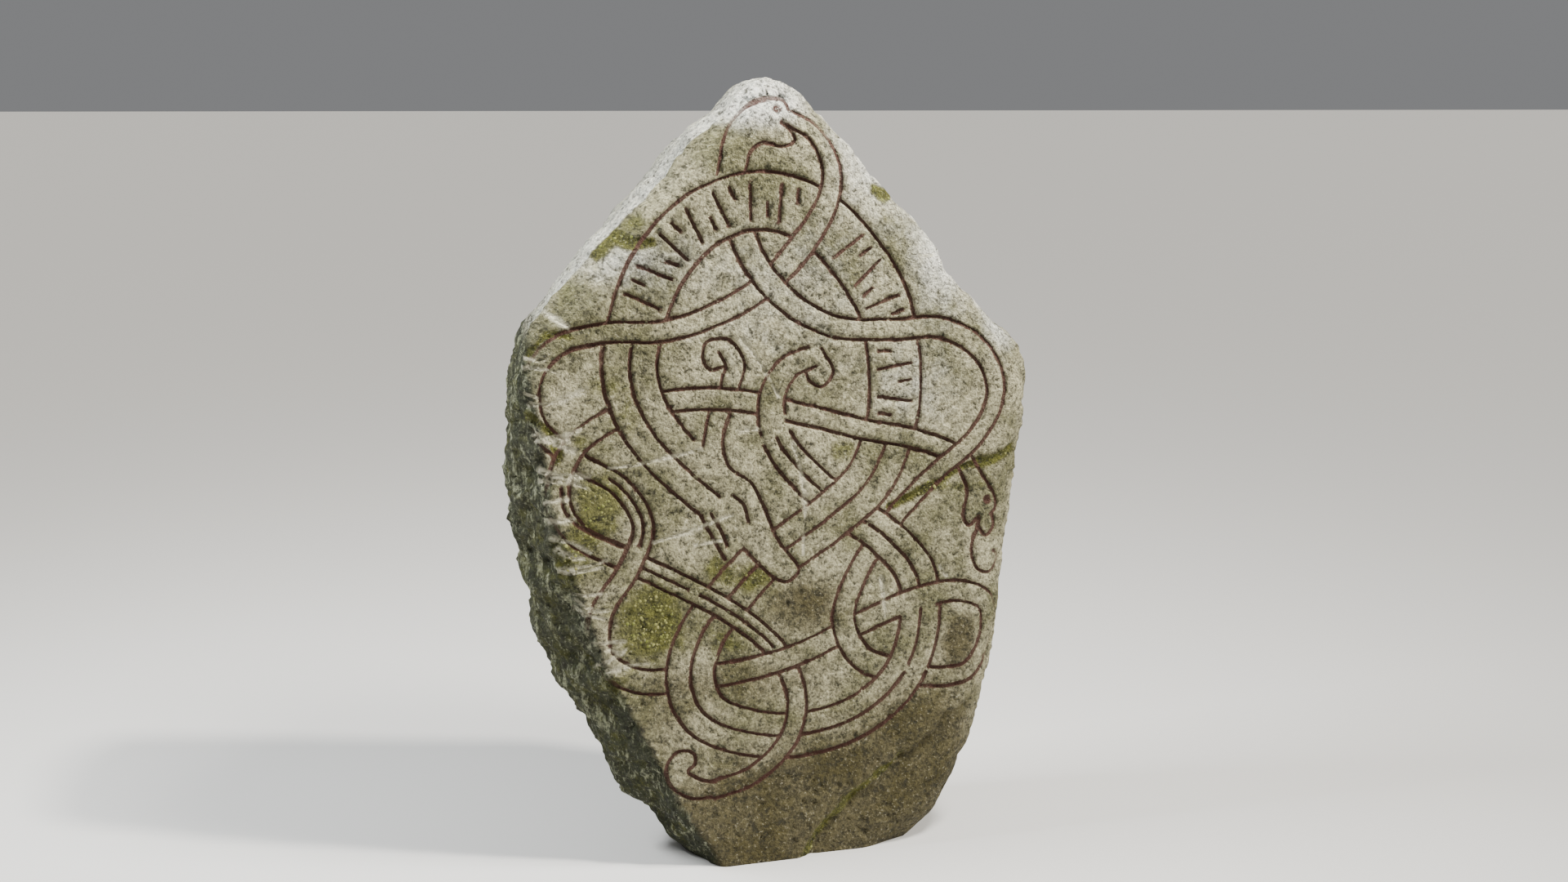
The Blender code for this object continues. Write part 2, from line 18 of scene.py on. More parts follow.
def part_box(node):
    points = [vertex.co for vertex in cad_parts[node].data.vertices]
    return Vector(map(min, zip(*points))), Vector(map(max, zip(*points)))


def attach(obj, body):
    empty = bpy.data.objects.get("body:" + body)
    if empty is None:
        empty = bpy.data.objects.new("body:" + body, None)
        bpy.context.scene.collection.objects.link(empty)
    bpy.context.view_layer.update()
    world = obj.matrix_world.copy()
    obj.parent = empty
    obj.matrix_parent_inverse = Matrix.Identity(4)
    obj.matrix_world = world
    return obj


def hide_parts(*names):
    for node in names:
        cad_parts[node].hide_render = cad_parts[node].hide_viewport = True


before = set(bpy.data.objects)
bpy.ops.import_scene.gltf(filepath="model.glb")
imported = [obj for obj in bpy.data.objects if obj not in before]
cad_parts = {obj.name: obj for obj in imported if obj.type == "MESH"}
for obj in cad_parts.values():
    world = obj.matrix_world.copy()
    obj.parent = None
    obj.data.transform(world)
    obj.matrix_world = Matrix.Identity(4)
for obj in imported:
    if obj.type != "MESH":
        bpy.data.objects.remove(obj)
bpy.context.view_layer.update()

NODE = "rune_stone"
BODY = "root"

# Size of the stone, and of the drawing on its face: x from the middle line, z from the ground
HEIGHT = 1.5
FACE_WIDTH = 0.99
THICKNESS = 0.32
DRAWN_WIDTH = 990
DRAWN_HEIGHT = 1500

# Angle from the top, in degrees, at which the left side begins, and the turn within which it does
SHOULDER_ANGLE = -48
SHOULDER_TURN = 16

# Spacing of the points along every curve, and the distance within which divided points merge
CURVE_STEP = 0.003
MERGE_DISTANCE = 1e-6
GROUND_MERGE = 0.0005

# Rows of points along a cut, in shares of its half width; cracks and clefts have no wall row
WALL_ROW = 0.86
OUTER_ROW = 1.3
ROW_SHARES = (0.0, 0.5, WALL_ROW, OUTER_ROW)

log = logging.getLogger("rune_stone")

Points = np.ndarray
Place = tuple[float, float]
Colour = tuple[float, float, float]


def on_face(points: Any) -> Points:
    """Turn points of the face drawing into metres.

    Args:
        points: Points as (x, z) in the drawing's units.

    Returns:
        The same points in metres.
    """
    return np.asarray(points, float) * (FACE_WIDTH / DRAWN_WIDTH, HEIGHT / DRAWN_HEIGHT)


def lengths_along(line: Points) -> Points:
    """Measure a line up to each of its points.

    Args:
        line: Points in order.

    Returns:
        The length up to each point, from 0.
    """
    steps = np.linalg.norm(np.diff(line, axis=0), axis=1)
    return np.concatenate([[0.0], np.cumsum(steps)])


def evenly_spaced(line: Points, spacing: float) -> Points:
    """Divide a line again at an even spacing.

    Args:
        line: Points in order.
        spacing: Distance wanted between points.

    Returns:
        The same line with evenly spaced points.
    """
    along = lengths_along(line)
    count = max(2, round(along[-1] / spacing) + 1)
    places = np.linspace(0.0, along[-1], count)
    return np.stack([np.interp(places, along, line[:, axis]) for axis in (0, 1)], axis=1)


def smooth_curve(points: Any, spacing: float, closed: bool = False) -> Points:
    """Draw a smooth curve through points.

    Args:
        points: Points that the curve passes through.
        spacing: Distance between the points of the result.
        closed: Whether the curve returns to its start.

    Returns:
        The curve as a finely divided line.
    """
    knots = np.asarray(points, float)
    if closed:
        knots = np.vstack([knots[-1], knots, knots[0], knots[1]])
    else:
        knots = np.vstack([2 * knots[0] - knots[1], knots, 2 * knots[-1] - knots[-2]])
    t = np.linspace(0.0, 1.0, 40, endpoint=False)[:, None]
    pieces = []
    for before, start, end, after in zip(knots, knots[1:], knots[2:], knots[3:]):
        ahead = math.sqrt(np.linalg.norm(start - before))
        inside = math.sqrt(np.linalg.norm(end - start))
        behind = math.sqrt(np.linalg.norm(after - end))
        middle = (end - start) / inside
        leave = (start - before) / ahead - (end - before) / (ahead + inside) + middle
        arrive = middle - (after - start) / (inside + behind) + (after - end) / behind
        pieces.append(
            (2 * t**3 - 3 * t**2 + 1) * start
            + (t**3 - 2 * t**2 + t) * inside * leave
            + (3 * t**2 - 2 * t**3) * end
            + (t**3 - t**2) * inside * arrive
        )
    return evenly_spaced(np.vstack([*pieces, knots[-2]]), spacing)


def side_directions(line: Points) -> Points:
    """Find the unit vectors to the left of a line.

    Args:
        line: Points in order.

    Returns:
        One unit vector for each point.
    """
    ahead = np.gradient(line, axis=0)
    ahead /= np.maximum(np.linalg.norm(ahead, axis=1), 1e-12)[:, None]
    return np.stack([-ahead[:, 1], ahead[:, 0]], axis=1)


def distances(points: Points, line: Points) -> tuple[Points, Points]:
    """Measure how far points lie from a line.

    Args:
        points: Points to measure from.
        line: Line to measure to.

    Returns:
        The distance of each point, and the share of the line where it is nearest.
    """
    start = line[:-1]
    run = line[1:] - start
    offset = points[:, None] - start
    share = np.clip((offset * run).sum(2) / np.maximum((run**2).sum(1), 1e-18), 0.0, 1.0)
    gap = np.linalg.norm(offset - share[:, :, None] * run, axis=2)
    nearest = gap.argmin(axis=1)
    rows = np.arange(len(points))
    return gap[rows, nearest], (nearest + share[rows, nearest]) / len(run)


def smoothstep(values: Points, low: float, high: float) -> Points:
    """Ease values from 0 at low to 1 at high."""
    share = np.clip((values - low) / (high - low), 0.0, 1.0)
    return share * share * (3 - 2 * share)


@dataclass(frozen=True)
class CloudNoise:
    """Smooth random field over the face, between 0 and 1."""

    spacing: float
    seed: int
    cells: int = 97

    def at(self, points: Points) -> Points:
        """Read the field.

        Args:
            points: Places on the face in metres.

        Returns:
            One value for each place.
        """
        grid = np.random.default_rng(self.seed).random((self.cells, self.cells))
        scaled = points / self.spacing
        base = np.floor(scaled).astype(int)
        blend = scaled - base
        blend = blend * blend * (3 - 2 * blend)
        col, row = base[:, 0] % self.cells, base[:, 1] % self.cells
        next_col, next_row = (col + 1) % self.cells, (row + 1) % self.cells
        low = grid[col, row] * (1 - blend[:, 0]) + grid[next_col, row] * blend[:, 0]
        high = grid[col, next_row] * (1 - blend[:, 0]) + grid[next_col, next_row] * blend[:, 0]
        return low * (1 - blend[:, 1]) + high * blend[:, 1]


@dataclass
class Strand:
    """One serpent's body: its path, its widths along it and the stretches with a middle line."""

    path: tuple[Place, ...]
    widths: tuple[float, ...]
    middle: tuple[tuple[float, float], ...] = ()
    right_from: float = 0.0
    centre: Points = field(init=False, repr=False)
    half: Points = field(init=False, repr=False)

    def __post_init__(self) -> None:
        """Work out the centre line and the half width along it."""
        self.centre = smooth_curve(on_face(self.path), CURVE_STEP)
        stations = np.linspace(0.0, 1.0, len(self.widths))
        shares = np.linspace(0.0, 1.0, len(self.centre))
        self.half = np.interp(shares, stations, self.widths) / 2 * FACE_WIDTH / DRAWN_WIDTH

    def lines(self) -> list[Points]:
        """Give both edges and the middle lines.

        Returns:
            Each line at full length, with nothing hidden yet.
        """
        last = len(self.centre) - 1
        side = side_directions(self.centre) * self.half[:, None]
        found = [self.centre + side, (self.centre - side)[round(self.right_from * last):]]
        for start, end in self.middle:
            found.append(self.centre[round(start * last): round(end * last) + 1])
        return found


@dataclass(frozen=True)
class Crossing:
    """A place where one strand passes over another."""

    upper: str
    lower: str
    place: Place


STRANDS = {
    "rune_ring": Strand(
        path=(
            (-125, 740), (-180, 790), (-232, 845), (-272, 910), (-290, 985), (-276, 1070),
            (-236, 1166), (-149, 1257), (-42, 1288), (60, 1256), (145, 1174), (197, 1085),
            (218, 970), (213, 865), (170, 757), (95, 690), (5, 630),
        ),
        widths=(98, 100, 104, 105, 105, 105, 102, 98, 92),
        middle=((0.0, 0.22), (0.825, 1.0)),
        right_from=0.07,
    ),
    "rune_tail": Strand(
        path=(
            (-50, 603), (-105, 545), (-160, 475), (-183, 390), (-155, 315), (-70, 271), (38, 257),
            (160, 287), (240, 355), (274, 450), (268, 560), (205, 640), (120, 702), (42, 772),
            (-12, 845), (-22, 925), (10, 978), (55, 997),
        ),
        widths=(88, 94, 90, 84, 76, 62, 40),
        middle=((0.0, 0.725), (0.79, 0.89)),
    ),
    "upper_band": Strand(
        path=(
            (12, 1436), (62, 1406), (91, 1348), (84, 1285), (38, 1210), (-40, 1130), (-142, 1076),
            (-230, 1054), (-340, 1054), (-425, 1030), (-468, 970), (-460, 890), (-385, 818),
            (-310, 768), (-269, 693), (-298, 611), (-350, 530), (-352, 445), (-284, 393),
            (-180, 388),
        ),
        widths=(26, 48, 38, 33, 36, 42, 50),
        middle=((0.66, 0.75),),
    ),
    "base_band": Strand(
        path=(
            (-180, 388), (-80, 396), (30, 420), (150, 470), (275, 514), (360, 522), (414, 495),
            (420, 425), (380, 357), (300, 350), (235, 366),
        ),
        widths=(46, 42, 46, 34, 42),
    ),
    "right_band": Strand(
        path=(
            (235, 366), (158, 402), (120, 480), (148, 573), (220, 677), (300, 758), (388, 833),
            (424, 915), (395, 993), (314, 1042), (210, 1043), (90, 1055), (-9, 1118), (-65, 1195),
            (-92, 1280), (-98, 1338),
        ),
        widths=(49, 44, 38, 34, 40, 38, 45, 53),
    ),
    "middle_band": Strand(
        path=(
            (-140, 160), (-60, 183), (9, 250), (26, 335), (-15, 431), (-95, 507), (-190, 567),
            (-312, 635), (-394, 685), (-426, 752), (-402, 836), (-335, 890), (-217, 924),
            (-90, 921), (45, 887), (163, 853), (250, 834), (325, 806), (365, 779),
        ),
        widths=(36, 38, 42, 42, 42, 40, 38, 36),
        middle=((0.213, 0.31), (0.328, 0.38)),
    ),
}

CROSSINGS = (
    Crossing("rune_ring", "rune_tail", (115, 706)),
    Crossing("upper_band", "rune_ring", (72, 1262)),
    Crossing("right_band", "upper_band", (-32, 1140)),
    Crossing("upper_band", "rune_ring", (-280, 1054)),
    Crossing("middle_band", "upper_band", (-415, 835)),
    Crossing("upper_band", "middle_band", (-285, 628)),
    Crossing("rune_tail", "upper_band", (-180, 388)),
    Crossing("rune_tail", "base_band", (-180, 388)),
    Crossing("base_band", "middle_band", (-4, 410)),
    Crossing("right_band", "base_band", (122, 458)),
    Crossing("base_band", "rune_tail", (275, 514)),
    Crossing("rune_tail", "base_band", (240, 365)),
    Crossing("rune_tail", "right_band", (240, 365)),
    Crossing("rune_tail", "right_band", (190, 640)),
    Crossing("right_band", "middle_band", (345, 795)),
    Crossing("right_band", "rune_ring", (210, 1045)),
    Crossing("rune_ring", "right_band", (-88, 1280)),
    Crossing("middle_band", "rune_tail", (27, 300)),
    Crossing("middle_band", "rune_tail", (-125, 527)),
    Crossing("rune_ring", "middle_band", (-265, 915)),
    Crossing("rune_tail", "middle_band", (-20, 904)),
    Crossing("middle_band", "rune_ring", (210, 845)),
)

# Heads, crest, curled ends and whisker of the serpents
CONTOURS = (
    ((-103, 897), (-117, 845), (-105, 795), (-65, 765), (-42, 725), (-10, 647), (22, 605),
     (30, 585), (10, 566), (-15, 573), (-78, 636)),
    ((-160, 705), (-133, 652), (-113, 617)),
    ((-140, 707), (-122, 675), (-110, 645)),
    ((-98, 741), (-78, 722), (-68, 689)),
    ((-420, 772), (-417, 735), (-390, 700), (-312, 656)),
    ((-155, 838), (-150, 868), (-143, 899)),
    ((-120, 945), (-117, 965), (-110, 985), (-122, 1010)),
    ((-85, 945), (-75, 990), (-105, 1035), (-147, 1030), (-153, 1000), (-140, 980), (-114, 984)),
    ((-125, 1335), (-112, 1390), (-82, 1443), (-35, 1470), (3, 1467), (12, 1447)),
    ((-72, 1342), (-60, 1378), (-40, 1392), (0, 1385), (22, 1396), (12, 1414), (-3, 1428)),
    ((378, 790), (405, 745), (427, 712), (432, 685), (422, 673)),
    ((425, 672), (428, 645), (410, 630), (393, 652)),
    ((352, 768), (369, 725), (363, 668), (376, 653), (395, 670), (393, 650)),
    ((393, 650), (380, 605), (395, 563), (425, 556), (441, 585), (431, 597)),
    ((74, 1012), (97, 965), (75, 940), (50, 952), (43, 970)),
    ((-145, 145), (-185, 148), (-225, 180), (-230, 220), (-205, 245), (-178, 238), (-176, 215),
     (-190, 203), (-165, 183), (-135, 176)),
)
EYES = ((-12, 1455), (411, 703))

# Hairline cracks and scratches of the face
CRACKS = (
    ((-330, 805), (-245, 815), (-160, 833)),
    ((-250, 660), (-170, 680), (-100, 705)),
    ((-170, 650), (-120, 655)),
    ((-440, 610), (-390, 622), (-340, 630)),
    ((-440, 790), (-385, 795)),
    ((-410, 535), (-340, 535)),
    ((-80, 1035), (-40, 980), (-10, 925)),
    ((-85, 864), (-45, 864)),
    ((20, 835), (38, 760), (42, 700), (38, 620)),
    ((-375, 415), (-305, 455)),
    ((195, 560), (205, 487)),
    ((315, 575), (330, 555)),
    ((268, 1180), (300, 1180)),
    ((-440, 1095), (-400, 1065)),
    ((-470, 870), (-415, 868), (-380, 880)),
)

# Clefts: a seam at the right, broken ledges at the upper left, nicks in the edges and the flake's
# foot; moss and painted shade lie along them
CLEFTS = (
    ((465, 800), (420, 782), (370, 775), (290, 735), (210, 700)),
    ((-345, 1190), (-310, 1225), (-280, 1212), (-245, 1216)),
    ((178, 1306), (205, 1296), (232, 1300)),
    ((345, 1168), (375, 1150), (398, 1120)),
    ((-470, 1020), (-440, 1050), (-400, 1048)),
    ((-480, 905), (-440, 880), (-425, 830)),
    ((40, -60), (55, 25), (110, 90), (170, 140), (240, 195)),
)


def edge_nicks(count: int = 19, seed: int = 17) -> tuple[tuple[Place, ...], ...]:
    """Lay short nicks across the left edge of the face, from the shoulder down.

    Args:
        count: How many nicks.
        seed: Seed of their unevenness.

    Returns:
        One short line for each nick, in the drawing's units.
    """
    random = np.random.default_rng(seed)
    edge = ((-483, 1040), (-486, 950), (-470, 850), (-447, 700), (-400, 545), (-345, 400))
    path = smooth_curve(edge, 4.0)
    nicks = []
    for order in range(count):
        start = path[round((order + random.uniform(0.1, 0.9)) / count * (len(path) - 1))]
        reach = random.uniform(22, 105)
        rise = random.uniform(-0.55, 0.40)
        bend = random.uniform(-9, 9)
        start = start + (6, 0)
        middle = start + (reach / 2, reach / 2 * rise + bend)
        nicks.append((tuple(start), tuple(middle), tuple(start + (reach, reach * rise))))
    return tuple(nicks)


class Cut(Enum):
    """The kinds of cut in the face: full width, depth and how much paint is left in them."""

    GROOVE = (0.0100, 0.0066, 1.0)
    STROKE = (0.0098, 0.0060, 1.0)
    CRACK = (0.0066, 0.0028, 0.0)
    CLEFT = (0.0200, 0.0070, 0.0)

    @property
    def half(self) -> float:
        """Half the width."""
        return self.value[0] / 2

    @property
    def depth(self) -> float:
        """Depth at the middle."""
        return self.value[1]

    @property
    def paint(self) -> float:
        """Share of the paint that is left."""
        return self.value[2]


@dataclass
class FaceDrawing:
    """Every line that is cut into the face, and how deep the face is cut anywhere."""

    row_step: float = 0.005
    wobble: float = 0.0006
    stroke_gap: float = 0.060
    stroke_share: float = 0.62
    tick_share: float = 0.32
    tick_height_share: float = 0.36
    stroke_stretches: tuple[tuple[float, float], ...] = ((0.25, 0.495), (0.555, 0.79))
    stroke_leans: tuple[float, ...] = (0.10, -0.16, 0.05, 0.22, -0.08)
    stroke_clearance: float = 0.009
    eye_radius: float = 0.011
    hand_step: float = 0.002
    tree_step: float = 0.001
    row_tolerance: float = 0.0005
    lines: dict[Cut, list[Points]] = field(init=False)
    trees: dict[Cut, KDTree] = field(init=False)

    def __post_init__(self) -> None:
        """Lay out the lines of each kind and index them."""
        contours = [smooth_curve(on_face(contour), CURVE_STEP) for contour in CONTOURS]
        cracks = [smooth_curve(on_face(crack), CURVE_STEP) for crack in CRACKS + edge_nicks()]
        clefts = [smooth_curve(on_face(cleft), CURVE_STEP) for cleft in CLEFTS]
        self.lines = {
            Cut.CLEFT: clefts,
            Cut.GROOVE: [self._hand_cut(line) for line in self._strand_lines() + contours],
            Cut.STROKE: [self._hand_cut(line) for line in self._stroke_lines()],
            Cut.CRACK: [self._hand_cut(line) for line in cracks],
        }
        self.trees = {kind: self._tree(lines) for kind, lines in self.lines.items()}

    def _hand_cut(self, line: Points) -> Points:
        """Let a line waver as a hand-held chisel does.

        Args:
            line: The line as drawn.

        Returns:
            The same line, a little uneven, with the same ends.
        """
        fine = evenly_spaced(line, self.hand_step)
        sway = CloudNoise(0.024, 5).at(fine) + 0.6 * CloudNoise(0.009, 6).at(fine) - 0.8
        ends = np.minimum(np.arange(len(fine)), np.arange(len(fine))[::-1]) / 4
        sway *= np.clip(ends, 0.0, 1.0)
        return fine + side_directions(fine) * (2 * self.wobble * sway)[:, None]

    def _tree(self, lines: list[Points]) -> KDTree:
        """Index the points of some lines for nearest searches."""
        fine = np.vstack([evenly_spaced(line, self.tree_step) for line in lines])
        tree = KDTree(len(fine))
        for index, (x, z) in enumerate(fine):
            tree.insert((x, z, 0.0), index)
        tree.balance()
        return tree

    @staticmethod
    def _clearance(name: str, line: Points) -> Points:
        """Measure how far a strand's line lies outside the strands that pass over it.

        Args:
            name: The strand's name.
            line: One of its lines.

        Returns:
            One clearance for each point, negative where the line is hidden.
        """
        clear = np.full(len(line), 1.0)
        for crossing in CROSSINGS:
            if crossing.lower != name:
                continue
            upper = STRANDS[crossing.upper]
            middle = on_face(crossing.place)
            reach = 2.2 * (upper.half.max() + STRANDS[name].half.max())
            near = np.linalg.norm(line - middle, axis=1) < reach
            stretch = np.linalg.norm(upper.centre - middle, axis=1) < 1.5 * reach
            gap, share = distances(line[near], upper.centre[stretch])
            half = np.interp(share, np.linspace(0.0, 1.0, stretch.sum()), upper.half[stretch])
            clear[near] = np.minimum(clear[near], gap - half)
        return clear

    @staticmethod
    def _visible_pieces(line: Points, clear: Points) -> list[Points]:
        """Keep the pieces of a line with a positive clearance.

        Args:
            line: The whole line.
            clear: Its clearance at each point.

        Returns:
            The pieces, each ended where the clearance reaches zero.
        """
        pieces = []
        current = [line[0]] if clear[0] > 0 else []
        for index in range(1, len(line)):
            before, here = clear[index - 1], clear[index]
            if (before > 0) != (here > 0):
                share = before / (before - here)
                current.append(line[index - 1] + share * (line[index] - line[index - 1]))
                if before > 0:
                    pieces.append(np.array(current))
                    current = []
            if here > 0:
                current.append(line[index])
        if current:
            pieces.append(np.array(current))
        return [piece for piece in pieces if lengths_along(piece)[-1] > 4 * Cut.GROOVE.half]

    def _strand_lines(self) -> list[Points]:
        """Give every visible line of the strands."""
        found = []
        for name, strand in STRANDS.items():
            for line in strand.lines():
                found += self._visible_pieces(line, self._clearance(name, line))
        return found

    def _stroke_lines(self) -> list[Points]:
        """Give the strokes across the rune ring, long and short in turn, clear of what lies above."""
        ring = STRANDS["rune_ring"]
        side = side_directions(ring.centre)
        last = len(ring.centre) - 1
        length = lengths_along(ring.centre)[-1]
        found = []
        for start, end in self.stroke_stretches:
            count = round((end - start) * length / self.stroke_gap)
            for order in range(count):
                index = round((start + (end - start) * (order + 0.5) / count) * last)
                lean = self.stroke_leans[order % len(self.stroke_leans)]
                across = side[index]
                along = np.array([across[1], -across[0]])
                reach = (across + lean * along) * ring.half[index] * self.stroke_share
                middle = ring.centre[index]
                found.append(np.array([middle - reach, middle + reach]))
                height = (-1) ** order * self.tick_height_share * ring.half[index]
                tick = middle + along * self.stroke_gap / 2 + across * height
                short = reach * self.tick_share
                found.append(np.array([tick - short, tick + short]))
        return [
            line for line in found
            if self._clearance("rune_ring", line).min() > self.stroke_clearance
        ]

    def gaps(self, points: Points, kind: Cut) -> Points:
        """Measure how far points lie from the nearest line of a kind.

        Args:
            points: Places on the face.
            kind: The kind of line.

        Returns:
            One distance for each place.
        """
        find = self.trees[kind].find
        return np.array([find((x, z, 0.0))[2] for x, z in points])

    def cuts(self, points: Points) -> tuple[Points, Points, Points, Points]:
        """Work out how deep the face is cut, and what lies in the cuts.

        Args:
            points: Places on the face.

        Returns:
            The depth, and the masks of paint, of cracks, and of the moss and painted shade of the
            clefts at each place.
        """
        depth = np.zeros(len(points))
        paint = np.zeros(len(points))
        crack = np.zeros(len(points))
        cleft_moss_and_shade = np.zeros(len(points))
        uneven = CloudNoise(0.045, 11).at(points)
        for kind in Cut:
            sway = 0.3 if kind in (Cut.GROOVE, Cut.STROKE) else 1.3
            ratio = self.gaps(points, kind) / (kind.half * (1 + sway * (uneven - 0.5)))
            profile = 1.0 / (1.0 + (ratio / 0.78) ** 4)
            wear_and_highlight = 0.78 + 0.35 * CloudNoise(0.09, 12).at(points)
            depth = np.maximum(depth, kind.depth * wear_and_highlight * profile)
            inside = 1.0 - smoothstep(ratio, 0.45, 0.92)
            paint = np.maximum(paint, kind.paint * inside)
            if kind is Cut.CRACK:
                crack = (1.0 - smoothstep(ratio, 0.4, 1.5)) * smoothstep(uneven, 0.0, 0.35)
            if kind is Cut.CLEFT:
                # Moss and painted shade along the clefts, the flake's foot among them
                cleft_moss_and_shade = 1.0 - smoothstep(ratio, 0.4, 1.3)
        eye = np.linalg.norm(points[:, None] - on_face(EYES), axis=2).min(axis=1) / self.eye_radius
        depth = np.maximum(depth, Cut.GROOVE.depth * np.clip(1.0 - eye**2, 0.0, 1.0))
        paint = np.maximum(paint, 1.0 - smoothstep(eye, 0.7, 1.0))
        return depth, paint, crack, cleft_moss_and_shade

    def rows(self) -> list[Points]:
        """Give the rows of points that follow the cuts, middle rows first.

        Returns:
            Rows of points, none of them nearer to another line than to its own.
        """
        found = []
        for share in ROW_SHARES:
            for kind, lines in self.lines.items():
                if share == WALL_ROW and kind in (Cut.CRACK, Cut.CLEFT):
                    continue
                for line in lines:
                    row = evenly_spaced(line, self.row_step)
                    side = side_directions(row) * share * kind.half
                    for points in (row + side, row - side) if share else (row,):
                        gap = np.minimum(self.gaps(points, Cut.GROOVE), self.gaps(points, kind))
                        found.append(points[gap > share * kind.half - self.row_tolerance])
        return found


@dataclass(frozen=True)
class Patch:
    """A soft oval patch on the face: its middle, its reach across and up, and its strength."""

    place: Place
    reach: Place
    strength: float

    def at(self, points: Points) -> Points:
        """Give the patch's strength at each point."""
        offset = (points - on_face(self.place)) / on_face(self.reach)
        return self.strength * np.exp(-((offset**2).sum(1)) * 1.6)


# Where moss lies on the face, where the face is darker and browner (mostly low down), and where
# painted highlight lightens its tip, top and upper right
MOSS_PATCHES = (
    Patch((-262, 505), (76, 82), 1.6),
    Patch((-352, 735), (56, 80), 1.2),
    Patch((-402, 640), (46, 70), 1.0),
    Patch((-275, 1248), (70, 30), 0.6),
    Patch((-385, 860), (60, 30), 0.5),
    Patch((-455, 560), (40, 90), 0.8),
    Patch((-60, 580), (48, 34), 1.0),
    Patch((-130, 600), (36, 50), 0.8),
    Patch((-120, 455), (60, 36), 0.6),
    Patch((112, 815), (38, 28), 0.7),
    Patch((-400, 1140), (60, 60), 0.3),
    Patch((-320, 950), (80, 30), 0.5),
    Patch((200, 1290), (20, 16), 0.9),
    Patch((330, 735), (120, 18), 0.6),
    Patch((-290, 900), (40, 50), 0.5),
    Patch((-330, 380), (60, 50), 0.6),
)
# Darker, browner patches, mostly towards the bottom of the face
DARKENING_PATCHES = (
    Patch((45, 520), (110, 70), 0.9),
    Patch((358, 425), (46, 66), 1.1),
    Patch((-60, 380), (200, 70), 0.5),
    Patch((170, 100), (330, 190), 1.2),
    Patch((-60, 60), (300, 150), 1.1),
    Patch((300, 260), (150, 130), 0.6),
    Patch((-250, 330), (110, 160), 0.4),
    Patch((40, 1130), (70, 50), 0.35),
)
# Painted highlight: pale patches on the tip, the top and the upper right, where the light falls
PAINTED_HIGHLIGHT_PATCHES = (
    Patch((200, 1380), (130, 130), 1.0),
    Patch((330, 1200), (90, 140), 1.0),
    Patch((440, 1060), (50, 90), 0.9),
    Patch((-50, 1475), (110, 60), 1.8),
    Patch((-300, 1180), (160, 60), 0.5),
    Patch((0, 1120), (300, 200), 0.35),
    Patch((260, 930), (120, 120), 0.4),
)

# The broken tip, rougher than the rest of the face
TIP = Patch((-30, 1492), (95, 42), 1.0)

# What each vertex carries: the masks that the finish reads, then those of the relief
COLOUR_MASKS = ("paint", "crack", "moss", "darkening", "painted_highlight", "side")
MASKS = (*COLOUR_MASKS, "rough", "loose")


